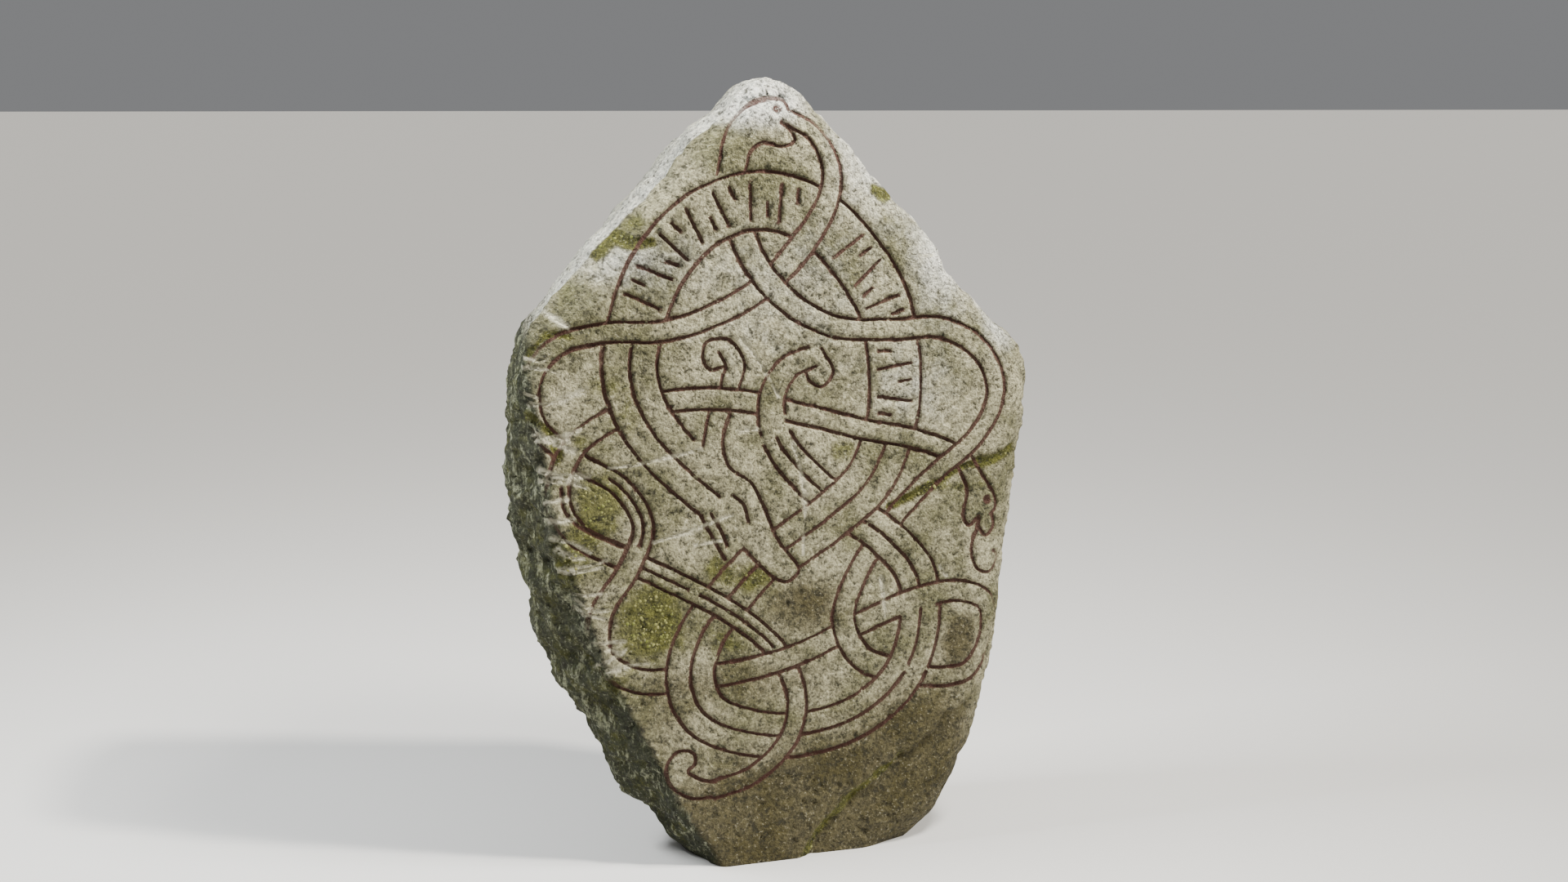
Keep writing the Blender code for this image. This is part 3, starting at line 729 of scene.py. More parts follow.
@dataclass
class StoneForm:
    """The block itself: outline, worn edges, sides, back and flat foot, as one closed mesh."""

    drawing: FaceDrawing
    edge_width_left: float = 0.035
    edge_width_right: float = 0.075
    edge_drop_left: float = 0.022
    edge_drop_right: float = 0.038
    largest_bulge: float = 0.085
    bulge_shares: tuple[Place, ...] = (
        (-180, 0.10), (-168, 0.42), (-153, 1.0), (-135, 0.85), (-118, 0.92), (-100, 0.66),
        (-86, 0.67), (-72, 0.33), (-60, 0.07), (-48, -0.05), (-36, 0.15), (-20, 0.17), (0, 0.05),
        (30, 0.05), (150, 0.05), (180, 0.10),
    )
    back_inset: float = 0.055
    back_dome: float = 0.045
    wave_height: float = 0.004
    wave_length: float = 0.62
    flake_depth: float = 0.014
    flake_slope: float = 0.010
    field_spacing: float = 0.0056
    field_jitter: float = 0.12
    field_seed: int = 31
    least_gap: float = 0.0018
    back_spacing: float = 0.014
    rim_start: float = 0.004
    rim_end: float = 0.05
    loose_height: float = 0.03
    # Heights over which the flank's dark colour, partly painted shade, fades out so that the upper
    # flank is lighter; over which its painted highlight comes in; and over which its darkening fades
    # out
    dark_heights: tuple[float, float] = (1.0, 1.12)
    painted_highlight_heights: tuple[float, float] = (0.9, 1.15)
    darkening_heights: tuple[float, float] = (0.1, 0.6)
    ring_sides: int = 500
    side_rings: int = 36
    centre: Place = (0, 720)
    outline: tuple[Place, ...] = (
        (-52, 1498), (10, 1496), (45, 1474), (78, 1440), (118, 1400), (178, 1338), (262, 1245),
        (300, 1203), (336, 1143), (376, 1100), (416, 1063), (466, 1020), (490, 985), (499, 935),
        (499, 875), (488, 797), (468, 645), (456, 500), (447, 410), (429, 298), (407, 210),
        (370, 124), (328, 58), (276, 8), (222, -22), (170, -70), (70, -112), (-60, -108),
        (-118, -55), (-142, 0), (-165, 30), (-196, 80), (-240, 160), (-300, 280), (-340, 360),
        (-375, 440), (-427, 600), (-452, 700), (-475, 850), (-490, 950), (-487, 1000),
        (-470, 1062), (-430, 1110), (-342, 1200), (-238, 1310), (-165, 1395), (-108, 1440),
        (-75, 1480),
    )
    flake_line: tuple[Place, ...] = (
        (40, -60), (55, 25), (110, 90), (170, 140), (240, 195), (330, 265), (440, 345),
    )
    middle: Points = field(init=False, repr=False)
    border_angles: Points = field(init=False, repr=False)
    border_radii: Points = field(init=False, repr=False)
    ring_angles: Points = field(init=False, repr=False)
    shift: Vector = field(init=False, repr=False)

    def __post_init__(self) -> None:
        """Turn the outline into a distance from the centre in every direction."""
        self.middle = on_face(self.centre)
        border = smooth_curve(on_face(self.outline), CURVE_STEP, closed=True) - self.middle
        angles = np.arctan2(border[:, 0], border[:, 1])
        order = np.argsort(angles)
        self.border_angles = angles[order]
        self.border_radii = np.linalg.norm(border, axis=1)[order]
        self.ring_angles = np.arange(self.ring_sides) * 2 * math.pi / self.ring_sides

    def reach(self, angles: Points) -> Points:
        """Give the distance from the centre to the outline at each angle."""
        return np.interp(angles, self.border_angles, self.border_radii, period=2 * math.pi)

    def polar(self, points: Points) -> tuple[Points, Points, Points]:
        """Place points by angle.

        Args:
            points: Places on the face.

        Returns:
            Their angles, their distances from the centre and the outline's there.
        """
        offset = points - self.middle
        angles = np.arctan2(offset[:, 0], offset[:, 1])
        return angles, np.linalg.norm(offset, axis=1), self.reach(angles)

    def ring(self, outset: Points | float = 0.0) -> Points:
        """Give the points of a ring beside the outline, outside it by the outset."""
        radii = self.reach(self.ring_angles) + outset
        turns = np.stack([np.sin(self.ring_angles), np.cos(self.ring_angles)], axis=1)
        return self.middle + turns * radii[:, None]

    @staticmethod
    def leftness(angles: Points) -> Points:
        """Give 1 on the left side of the stone below its shoulder and 0 elsewhere."""
        degrees = (np.degrees(angles) + 180) % 360 - 180
        upward = np.clip((SHOULDER_ANGLE - degrees) / SHOULDER_TURN, 0.0, 1.0)
        downward = np.clip((degrees + 180) / SHOULDER_TURN, 0.0, 1.0)
        return upward * downward

    def waves(self, points: Points) -> Points:
        """Give the gentle unevenness of the stone, between 0 and 1."""
        turn = 2 * math.pi / self.wave_length
        across = np.sin(turn * points[:, 0] + 1.1) * np.cos(0.8 * turn * points[:, 1])
        slanted = np.sin(1.7 * turn * (points[:, 0] * 0.6 + points[:, 1] * 0.8) + 0.4)
        return 0.5 + 0.3 * across + 0.2 * slanted

    def flake(self, points: Points) -> Points:
        """Give how far each point lies in the flake lost at the lower right, from 0 to 1."""
        edge = smooth_curve(on_face(self.flake_line), 0.006)
        sway = CloudNoise(0.03, 21).at(edge) + 0.6 * CloudNoise(0.012, 22).at(edge) - 0.8
        edge = edge + side_directions(edge) * 0.014 * sway[:, None]
        gap, share = distances(points, edge)
        first = np.minimum((share * (len(edge) - 1)).astype(int), len(edge) - 2)
        run = edge[first + 1] - edge[first]
        offset = points - edge[first]
        below = run[:, 0] * offset[:, 1] - run[:, 1] * offset[:, 0] < 0
        return np.clip(np.where(below, gap, 0.0) / self.flake_slope, 0.0, 1.0)

    def face_surface(self, points: Points) -> tuple[Points, dict[str, Points]]:
        """Work out the carved face.

        Args:
            points: Places on the face.

        Returns:
            Y at each place, and the masks there.
        """
        angles, radii, reach = self.polar(points)
        left = self.leftness(angles)
        width = left * self.edge_width_left + (1 - left) * self.edge_width_right
        drop = left * self.edge_drop_left + (1 - left) * self.edge_drop_right
        inward = np.clip((reach - radii) / width, 0.0, 1.0)
        surface = -THICKNESS / 2 + drop * (1 - inward) ** 2 + self.wave_height * self.waves(points)
        depth, paint, crack, cleft_moss_and_shade = self.drawing.cuts(points)
        rim = 1.0 - smoothstep(reach - radii, self.rim_start, self.rim_end)
        masks = {
            "paint": paint * (1 - 0.7 * rim),
            "crack": crack,
            # Moss, with more along the clefts
            "moss": np.sum([patch.at(points) for patch in MOSS_PATCHES], axis=0) + 0.7 * cleft_moss_and_shade,
            # Darker and browner in its patches, mostly low down, and painted shade along the clefts
            "darkening": np.sum([patch.at(points) for patch in DARKENING_PATCHES], axis=0) + 0.8 * cleft_moss_and_shade,
            # Painted highlight on the tip, top and upper right of the face
            "painted_highlight": np.sum([patch.at(points) for patch in PAINTED_HIGHLIGHT_PATCHES], axis=0),
            # Dark flank colour along the left edge of the face: partly the stone's weathering, partly
            # painted shade
            "side": rim * (0.1 + 0.9 * left),
            "rough": rim * (0.4 + 0.6 * left) + 0.8 * TIP.at(points),
        }
        return surface + self.flake_depth * self.flake(points) + depth * (1 - 0.5 * rim), masks

    def _grid(self, spacing: float) -> Points:
        """Give the points of a triangular grid that covers the whole face."""
        count = math.ceil(self.border_radii.max() / spacing) + 1
        across, up = np.meshgrid(np.arange(-count, count + 1), np.arange(-count, count + 1))
        shift = np.where(up % 2, 0.25, -0.25)
        grid = np.stack([(across + shift).ravel(), (up * math.sqrt(0.75)).ravel()], axis=1)
        return self.middle + grid * spacing

    @staticmethod
    def _divide(flat: Points, corners: int) -> tuple[Points, list[list[int]], dict[int, int]]:
        """Divide a flat region into faces.

        Args:
            flat: Its points, with those of the border first and in order.
            corners: How many of them are on the border.

        Returns:
            The points, the faces and the new place of each point that went in.
        """
        loop = [(index, (index + 1) % corners) for index in range(corners)]
        sites = [tuple(point) for point in flat]
        points, _, faces, sources, _, _ = delaunay_2d_cdt(sites, loop, [], 1, MERGE_DISTANCE)
        places = {source: index for index, found in enumerate(sources) for source in found}
        return np.array([tuple(point) for point in points]), faces, places

    def _face_points(self) -> Points:
        """Give the points that divide the face: its border, the rows along its cuts, the field."""
        rows = np.vstack(self.drawing.rows())
        grid = self._grid(self.field_spacing)
        random = np.random.default_rng(self.field_seed)
        jitter = random.uniform(-self.field_jitter, self.field_jitter, grid.shape)
        grid = grid + jitter * self.field_spacing
        _, radii, reach = self.polar(grid)
        grid = grid[radii < reach]
        for kind in Cut:
            clear = OUTER_ROW * kind.half + 0.45 * self.field_spacing
            grid = grid[self.drawing.gaps(grid, kind) > clear]
        inner = np.vstack([rows, grid])
        _, radii, reach = self.polar(inner)
        inner = inner[reach - radii > 0.6 * self.field_spacing]
        _, first = np.unique(np.round(inner / self.least_gap).astype(int), axis=0, return_index=True)
        return np.vstack([self.ring(), inner[np.sort(first)]])

    def _lay(self, mesh: bmesh.types.BMesh, points: Points, depth: Points,
             masks: dict[str, Points]) -> list[bmesh.types.BMVert]:
        """Add vertices with their masks.

        Args:
            mesh: The mesh to add to.
            points: Places as (x, z).
            depth: Y at each place.
            masks: Values by mask name; a mask that is left out is 0.

        Returns:
            The new vertices.
        """
        layers = {name: mesh.verts.layers.float[name] for name in MASKS}
        verts = [mesh.verts.new((x, y, z)) for (x, z), y in zip(points, depth)]
        for name, values in masks.items():
            layer = layers[name]
            for vertex, value in zip(verts, values):
                vertex[layer] = value
        return verts

    def _front(self, mesh: bmesh.types.BMesh) -> list[bmesh.types.BMVert]:
        """Add the carved face.

        Args:
            mesh: The mesh to add to.

        Returns:
            The vertices of its border in order.
        """
        points, faces, places = self._divide(self._face_points(), self.ring_sides)
        surface, masks = self.face_surface(points)
        verts = self._lay(mesh, points, surface, masks)
        for face in faces:
            mesh.faces.new([verts[index] for index in face])
        return [verts[places[index]] for index in range(self.ring_sides)]

    def _sides(self, mesh: bmesh.types.BMesh, border: list[bmesh.types.BMVert]
               ) -> list[bmesh.types.BMVert]:
        """Add the sides, which bulge between face and back.

        Args:
            mesh: The mesh to add to.
            border: The face's border.

        Returns:
            The vertices of the back edge in order.
        """
        left = self.leftness(self.ring_angles)
        stations, shares = np.array(self.bulge_shares).T
        bulge = self.largest_bulge * np.interp(
            self.ring_angles, np.radians(stations), shares, period=2 * math.pi
        )
        front = np.array([vertex.co.y for vertex in border])
        rim = THICKNESS / 2 - self.back_dome
        ring = border
        for step in range(1, self.side_rings + 1):
            share = step / self.side_rings
            unevenness = self.waves(self.ring() + share * THICKNESS) - 0.5
            outset = bulge * math.sin(math.pi * share) - self.back_inset * share**3
            points = self.ring(outset + 2 * self.wave_height * unevenness)
            depth = front + (rim - front) * share
            side = np.clip(0.25 + 0.75 * left + share, 0.0, 1.0)
            masks = {
                # Dark flank colour, partly the stone's weathering and partly painted shade; it fades
                # above the dark heights, painting the upper flank lighter
                "side": side * (0.35 + 0.65 * (1 - smoothstep(points[:, 1], *self.dark_heights))),
                "rough": 0.45 + 0.55 * left,
                "moss": 0.26 * left + 0.05,
                # Painted highlight on the upper flank, strongest next to the face
                "painted_highlight": 0.8 * (1 - 0.5 * share) * smoothstep(points[:, 1], *self.painted_highlight_heights),
                # Darker towards the bottom
                "darkening": 0.6 * (1 - smoothstep(points[:, 1], *self.darkening_heights)),
            }
            following = self._lay(mesh, points, depth, masks)
            for index, corner in enumerate(ring):
                after = (index + 1) % self.ring_sides
                mesh.faces.new((corner, following[index], following[after], ring[after]))
            ring = following
        return ring

    def _back(self, mesh: bmesh.types.BMesh, ring: list[bmesh.types.BMVert]) -> None:
        """Close the stone with its domed back.

        Args:
            mesh: The mesh to add to.
            ring: The back edge's vertices in order.
        """
        border = np.array([(vertex.co.x, vertex.co.z) for vertex in ring])
        grid = self._grid(self.back_spacing)
        _, radii, reach = self.polar(grid)
        grid = grid[radii < reach - self.back_inset - 0.8 * self.back_spacing]
        points, faces, places = self._divide(np.vstack([border, grid]), len(ring))
        _, radii, reach = self.polar(points)
        share = np.clip(radii / (reach - self.back_inset), 0.0, 1.0)
        depth = THICKNESS / 2 - self.back_dome * share**3 - self.wave_height * self.waves(points)
        masks = {
            # Dark flank colour over the back, partly painted shade
            "side": np.full(len(points), 0.8),
            "rough": np.full(len(points), 0.6),
            "moss": np.full(len(points), 0.2),
            # Darker towards the bottom
            "darkening": 0.6 * (1 - smoothstep(points[:, 1], *self.darkening_heights)),
        }
        verts = self._lay(mesh, points, depth, masks)
        for face in faces:
            mesh.faces.new([verts[index] for index in reversed(face)])
        bmesh.ops.weld_verts(
            mesh, targetmap={verts[places[index]]: vertex for index, vertex in enumerate(ring)}
        )

    @staticmethod
    def _cut_at_ground(mesh: bmesh.types.BMesh) -> None:
        """Cut the foot off flat at the ground and close it."""
        geometry = mesh.verts[:] + mesh.edges[:] + mesh.faces[:]
        cut = bmesh.ops.bisect_plane(
            mesh, geom=geometry, dist=GROUND_MERGE, plane_co=(0, 0, 0), plane_no=(0, 0, 1),
            clear_inner=True,
        )
        edges = [item for item in cut["geom_cut"] if isinstance(item, bmesh.types.BMEdge)]
        for edge in edges:
            for vertex in edge.verts:
                vertex.co.z = 0.0
        bmesh.ops.holes_fill(mesh, edges=edges, sides=0)

    def build(self) -> bpy.types.Object:
        """Build the stone where its solid stands.

        Returns:
            The stone, one closed mesh with its masks as attributes.
        """
        mesh = bmesh.new()
        for name in MASKS:
            mesh.verts.layers.float.new(name)
        border = self._front(mesh)
        self._back(mesh, self._sides(mesh, border))
        self._cut_at_ground(mesh)
        loose = mesh.verts.layers.float["loose"]
        for vertex in mesh.verts:
            vertex[loose] = min(1.0, max(0.0, vertex.co.z / self.loose_height))
        corners = np.array([vertex.co for vertex in mesh.verts])
        middle = (corners.min(axis=0) + corners.max(axis=0)) / 2
        low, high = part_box(NODE)
        home = (np.array(low) + np.array(high)) / 2
        shift = (home[0] - middle[0], home[1] - middle[1], 0.0)
        self.shift = Vector(shift)
        bmesh.ops.translate(mesh, verts=mesh.verts, vec=self.shift)
        bmesh.ops.triangulate(mesh, faces=mesh.faces)
        bmesh.ops.recalc_face_normals(mesh, faces=mesh.faces)
        data = bpy.data.meshes.new("carved_stone")
        mesh.to_mesh(data)
        mesh.free()
        data.shade_smooth()
        stone = bpy.data.objects.new("carved_stone", data)
        bpy.context.scene.collection.objects.link(stone)
        log.info("carved_stone: %d faces", len(data.polygons))
        return stone


class Board:
    """A node tree with short ways to add and link its nodes."""

    def __init__(self, tree: bpy.types.NodeTree) -> None:
        """Take the tree to build in."""
        self.tree = tree
        self.count = 0

    def add(self, kind: str, inputs: dict[Any, Any] | None = None, **settings: Any
            ) -> bpy.types.Node:
        """Add a node.

        Args:
            kind: The node's type.
            inputs: Sockets to link or values to set, by socket name or number.
            settings: The node's own properties.

        Returns:
            The new node.
        """
        node = self.tree.nodes.new(kind)
        node.location = (self.count % 12 * 190, -(self.count // 12) * 320)
        self.count += 1
        for name, value in settings.items():
            setattr(node, name, value)
        for key, value in (inputs or {}).items():
            self.feed(node.inputs[key], value)
        return node

    def feed(self, socket: bpy.types.NodeSocket, value: Any) -> None:
        """Link a socket, or set its value."""
        if isinstance(value, bpy.types.NodeSocket):
            self.tree.links.new(value, socket)
        else:
            socket.default_value = value

    def mix(self, factor: Any, first: Any, second: Any) -> bpy.types.NodeSocket:
        """Mix two colours.

        Args:
            factor: Share of the second.
            first: Colour at 0.
            second: Colour at 1.

        Returns:
            The mixed colour.
        """
        node = self.add("ShaderNodeMix", data_type="RGBA")
        for index, value in ((0, factor), (6, first), (7, second)):
            if isinstance(value, tuple) and len(value) == 3:
                value = (*value, 1.0)
            self.feed(node.inputs[index], value)
        return node.outputs[2]

    def math(self, operation: str, first: Any, second: Any = 0.0) -> bpy.types.NodeSocket:
        """Add a Math node and give its result."""
        node = self.add("ShaderNodeMath", {0: first, 1: second}, operation=operation)
        return node.outputs[0]

    def ramp(self, value: Any, low: float, high: float) -> bpy.types.NodeSocket:
        """Ease a value from 0 at low to 1 at high and give the result."""
        inputs = {"Value": value, "From Min": low, "From Max": high}
        node = self.add("ShaderNodeMapRange", inputs, interpolation_type="SMOOTHSTEP")
        return node.outputs["Result"]

    def noise(self, vector: Any, scale: float, detail: float = 4.0, roughness: float = 0.55
              ) -> bpy.types.NodeSocket:
        """Add a noise texture and give its value."""
        inputs = {"Vector": vector, "Scale": scale, "Detail": detail, "Roughness": roughness}
        return self.add("ShaderNodeTexNoise", inputs).outputs["Fac"]


def node_group(name: str, kind: str, inputs: dict[str, tuple[str, Any]], outputs: dict[str, str]
               ) -> bpy.types.NodeTree:
    """Start a node group with named sockets.

    Args:
        name: The group's name.
        kind: The type of tree.
        inputs: Socket type and default value by name.
        outputs: Socket type by name.

    Returns:
        The empty group.
    """
    tree = bpy.data.node_groups.new(name, kind)
    for label, (socket_type, value) in inputs.items():
        socket = tree.interface.new_socket(name=label, in_out="INPUT", socket_type=socket_type)
        if value is not None:
            socket.default_value = value
    for label, socket_type in outputs.items():
        tree.interface.new_socket(name=label, in_out="OUTPUT", socket_type=socket_type)
    return tree


def apply_tree(piece: bpy.types.Object, tree: bpy.types.NodeTree, values: dict[str, Any]
               ) -> bpy.types.Mesh:
    """Run a geometry tree on a piece and take the result as a plain mesh.

    Args:
        piece: The object that the tree works on.
        tree: The geometry tree.
        values: Values of the tree's inputs by name.

    Returns:
        A new mesh with the result.
    """
    modifier = piece.modifiers.new(tree.name, "NODES")
    modifier.node_group = tree
    for item in tree.interface.items_tree:
        if item.item_type == "SOCKET" and item.in_out == "INPUT" and item.name in values:
            modifier[item.identifier] = values[item.name]
    depsgraph = bpy.context.evaluated_depsgraph_get()
    evaluated = piece.evaluated_get(depsgraph)
    mesh = bpy.data.meshes.new_from_object(
        evaluated, preserve_all_data_layers=True, depsgraph=depsgraph
    )
    piece.modifiers.remove(modifier)
    return mesh


@dataclass(frozen=True)
class Weathering:
    """Relief that frost, rain and old breaks left on the stone, made by a geometry tree."""

    swell: float = 0.007
    swell_scale: float = 7.0
    chip: float = 0.030
    chip_scale: float = 15.0
    ledge: float = 0.013
    ledge_scale: float = 42.0
    pit: float = 0.0040
    pit_scale: float = 80.0
    grain: float = 0.0046
    grain_scale: float = 110.0

    def tree(self, material: bpy.types.Material) -> bpy.types.NodeTree:
        """Build the tree.

        Args:
            material: The finish that the result takes.

        Returns:
            A tree with one named input for each size.
        """
        sizes = {
            "Swell Height": self.swell, "Swell Scale": self.swell_scale,
            "Chip Height": self.chip, "Chip Scale": self.chip_scale,
            "Ledge Height": self.ledge, "Ledge Scale": self.ledge_scale,
            "Pit Depth": self.pit, "Pit Scale": self.pit_scale,
            "Grain Height": self.grain, "Grain Scale": self.grain_scale,
        }
        inputs = {"Geometry": ("NodeSocketGeometry", None)}
        inputs |= {label: ("NodeSocketFloat", value) for label, value in sizes.items()}
        inputs["Material"] = ("NodeSocketMaterial", material)
        tree = node_group("weathering", "GeometryNodeTree", inputs,
                          {"Geometry": "NodeSocketGeometry"})
        board = Board(tree)
        entry = board.add("NodeGroupInput").outputs
        place = board.add("GeometryNodeInputPosition").outputs[0]
        rough = board.add("GeometryNodeInputNamedAttribute", {"Name": "rough"}).outputs[0]
        paint = board.add("GeometryNodeInputNamedAttribute", {"Name": "paint"}).outputs[0]
        loose = board.add("GeometryNodeInputNamedAttribute", {"Name": "loose"}).outputs[0]
        swell = board.math("SUBTRACT", board.noise(place, entry["Swell Scale"], 3.0), 0.5)
        swell = board.math("MULTIPLY", swell, entry["Swell Height"])
        cells = board.add(
            "ShaderNodeTexVoronoi",
            {"Vector": place, "Scale": entry["Chip Scale"], "Randomness": 1.0},
            feature="SMOOTH_F1",
        ).outputs["Distance"]
        broken = board.noise(place, entry["Chip Scale"], 5.0, 0.6)
        chip = board.math("SUBTRACT", board.math("ADD", cells, broken), 1.05)
        chip = board.math("MULTIPLY", chip, entry["Chip Height"])
        ledge = board.math("SUBTRACT", board.noise(place, entry["Ledge Scale"], 3.0, 0.7), 0.5)
        ledge = board.math("MULTIPLY", ledge, board.math("MULTIPLY", entry["Ledge Height"], 2.0))
        chip = board.math("ADD", chip, ledge)
        chip = board.math("MULTIPLY", chip, board.ramp(rough, 0.05, 0.9))
        pits = board.ramp(board.noise(place, entry["Pit Scale"], 2.0), 0.52, 0.70)
        pits = board.math("MULTIPLY", pits, entry["Pit Depth"])
        grain = board.math("SUBTRACT", board.noise(place, entry["Grain Scale"], 2.0), 0.5)
        grain = board.math("MULTIPLY", grain, entry["Grain Height"])
        skin = board.math("SUBTRACT", grain, pits)
        skin = board.math("MULTIPLY", skin, board.math("SUBTRACT", 1.0, paint))
        total = board.math("ADD", board.math("ADD", swell, chip), skin)
        total = board.math("MULTIPLY", total, loose)
        normal = board.add("GeometryNodeInputNormal").outputs[0]
        push = board.add("ShaderNodeVectorMath", {0: normal, "Scale": total}, operation="SCALE")
        moved = board.add(
            "GeometryNodeSetPosition", {"Geometry": entry["Geometry"], "Offset": push.outputs[0]}
        )
        real = board.add("GeometryNodeRealizeInstances", {"Geometry": moved.outputs[0]})
        dressed = board.add(
            "GeometryNodeSetMaterial",
            {"Geometry": real.outputs[0], "Material": entry["Material"]},
        )
        board.add("NodeGroupOutput", {"Geometry": dressed.outputs[0]})
        return tree

    def apply(self, stone: bpy.types.Object, material: bpy.types.Material) -> None:
        """Weather the stone in place.

        Args:
            stone: The stone as cut.
            material: Its finish.
        """
        rough = stone.data
        stone.data = apply_tree(stone, self.tree(material), {"Material": material})
        stone.data.name = "carved_stone"
        bpy.data.meshes.remove(rough)
        log.info("weathered stone: %d faces", len(stone.data.polygons))


@dataclass(frozen=True)
class Growth:
    """Low crumbs of moss that sit where the moss mask is strong."""

    density: float = 9000.0
    least: float = 0.0012
    most: float = 0.0034
    flatness: float = 0.45
    seed: int = 7

    def tree(self, material: bpy.types.Material) -> bpy.types.NodeTree:
        """Build the scatter tree.

        Args:
            material: The moss finish.

        Returns:
            A tree with named inputs for its sizes and its seed.
        """
        inputs = {
            "Geometry": ("NodeSocketGeometry", None),
            "Density": ("NodeSocketFloat", self.density),
            "Least Radius": ("NodeSocketFloat", self.least),
            "Most Radius": ("NodeSocketFloat", self.most),
            "Flatness": ("NodeSocketFloat", self.flatness),
            "Seed": ("NodeSocketInt", self.seed),
            "Material": ("NodeSocketMaterial", material),
        }
        tree = node_group("moss_growth", "GeometryNodeTree", inputs,
                          {"Geometry": "NodeSocketGeometry"})
        board = Board(tree)
        entry = board.add("NodeGroupInput").outputs
        moss = board.add("GeometryNodeInputNamedAttribute", {"Name": "moss"}).outputs[0]
        place = board.add("GeometryNodeInputPosition").outputs[0]
        cloud = board.noise(place, 26.0, 5.0, 0.6)
        amount = board.ramp(board.math("ADD", moss, board.math("MULTIPLY", cloud, 1.4)), 1.35, 1.9)
        density = board.math("MULTIPLY", amount, entry["Density"])
        points = board.add(
            "GeometryNodeDistributePointsOnFaces",
            {"Mesh": entry["Geometry"], "Density": density, "Seed": entry["Seed"]},
        )
        crumb = board.add("GeometryNodeMeshIcoSphere", {"Radius": 1.0, "Subdivisions": 2})
        size = board.add(
            "FunctionNodeRandomValue",
            {"Min": entry["Least Radius"], "Max": entry["Most Radius"], "Seed": entry["Seed"]},
        )
        height = board.math("MULTIPLY", size.outputs["Value"], entry["Flatness"])
        scale = board.add(
            "ShaderNodeCombineXYZ",
            {"X": size.outputs["Value"], "Y": size.outputs["Value"], "Z": height},
        )
        placed = board.add(
            "GeometryNodeInstanceOnPoints",
            {
                "Points": points.outputs["Points"], "Instance": crumb.outputs["Mesh"],
                "Rotation": points.outputs["Rotation"], "Scale": scale.outputs[0],
            },
        )
        real = board.add("GeometryNodeRealizeInstances", {"Geometry": placed.outputs[0]})
        smooth = board.add("GeometryNodeSetShadeSmooth", {"Geometry": real.outputs[0]})
        dressed = board.add(
            "GeometryNodeSetMaterial",
            {"Geometry": smooth.outputs[0], "Material": entry["Material"]},
        )
        board.add("NodeGroupOutput", {"Geometry": dressed.outputs[0]})
        return tree

    def build(self, stone: bpy.types.Object, material: bpy.types.Material) -> bpy.types.Object:
        """Grow the moss on the stone.

        Args:
            stone: The weathered stone.
            material: The moss finish.

        Returns:
            The moss as one piece.
        """
        mesh = apply_tree(stone, self.tree(material), {"Material": material})
        mesh.name = "moss"
        moss = bpy.data.objects.new("moss", mesh)
        bpy.context.scene.collection.objects.link(moss)
        log.info("moss: %d faces", len(mesh.polygons))
        return moss


class SpeckleGroup:
    """Shader group: mineral speckles of two sizes with their height, painted shade in their low spots
    and painted highlight on their tops.
    """

    NAME = "speckle_and_relief_light"

    @classmethod
    def tree(cls) -> bpy.types.NodeTree:
        """Give the group, built once."""
        known = bpy.data.node_groups.get(cls.NAME)
        if known:
            return known
        inputs = {
            "Vector": ("NodeSocketVector", None),
            "Coarse Scale": ("NodeSocketFloat", 75.0),
            "Fine Scale": ("NodeSocketFloat", 190.0),
            "Base": ("NodeSocketColor", (0.4, 0.38, 0.3, 1.0)),
            "Dark": ("NodeSocketColor", (0.1, 0.09, 0.06, 1.0)),
            "Light": ("NodeSocketColor", (0.6, 0.6, 0.55, 1.0)),
            "Darkness": ("NodeSocketFloat", 0.7),
            "Lightness": ("NodeSocketFloat", 0.3),
        }
        tree = node_group(cls.NAME, "ShaderNodeTree", inputs,
                          {"Color": "NodeSocketColor", "Height": "NodeSocketFloat"})
        board = Board(tree)
        entry = board.add("NodeGroupInput").outputs
        coarse = board.noise(entry["Vector"], entry["Coarse Scale"], 5.0, 0.66)
        fine = board.noise(entry["Vector"], entry["Fine Scale"], 4.0, 0.62)
        height = board.math("MULTIPLY", board.math("ADD", coarse, fine), 0.5)
        # Painted shade and highlight: the base is darker where the bump is low and lighter where it is
        # high
        relief_light = board.add(
            "ShaderNodeMapRange",
            {"Value": height, "From Min": 0.41, "From Max": 0.60, "To Min": 0.42, "To Max": 1.55},
        ).outputs["Result"]
        toned = board.add("ShaderNodeHueSaturation", {"Value": relief_light, "Color": entry["Base"]})
        # Dark grains in the lowest spots and pale grains on the fine bumps' tops: partly mineral
        # grains, partly painted shade and highlight
        dark = board.math("MULTIPLY", board.ramp(height, 0.45, 0.38), entry["Darkness"])
        light = board.math("MULTIPLY", board.ramp(fine, 0.60, 0.70), entry["Lightness"])
        colour = board.mix(dark, toned.outputs["Color"], entry["Dark"])
        colour = board.mix(light, colour, entry["Light"])
        board.add("NodeGroupOutput", {"Color": colour, "Height": height})
        return tree


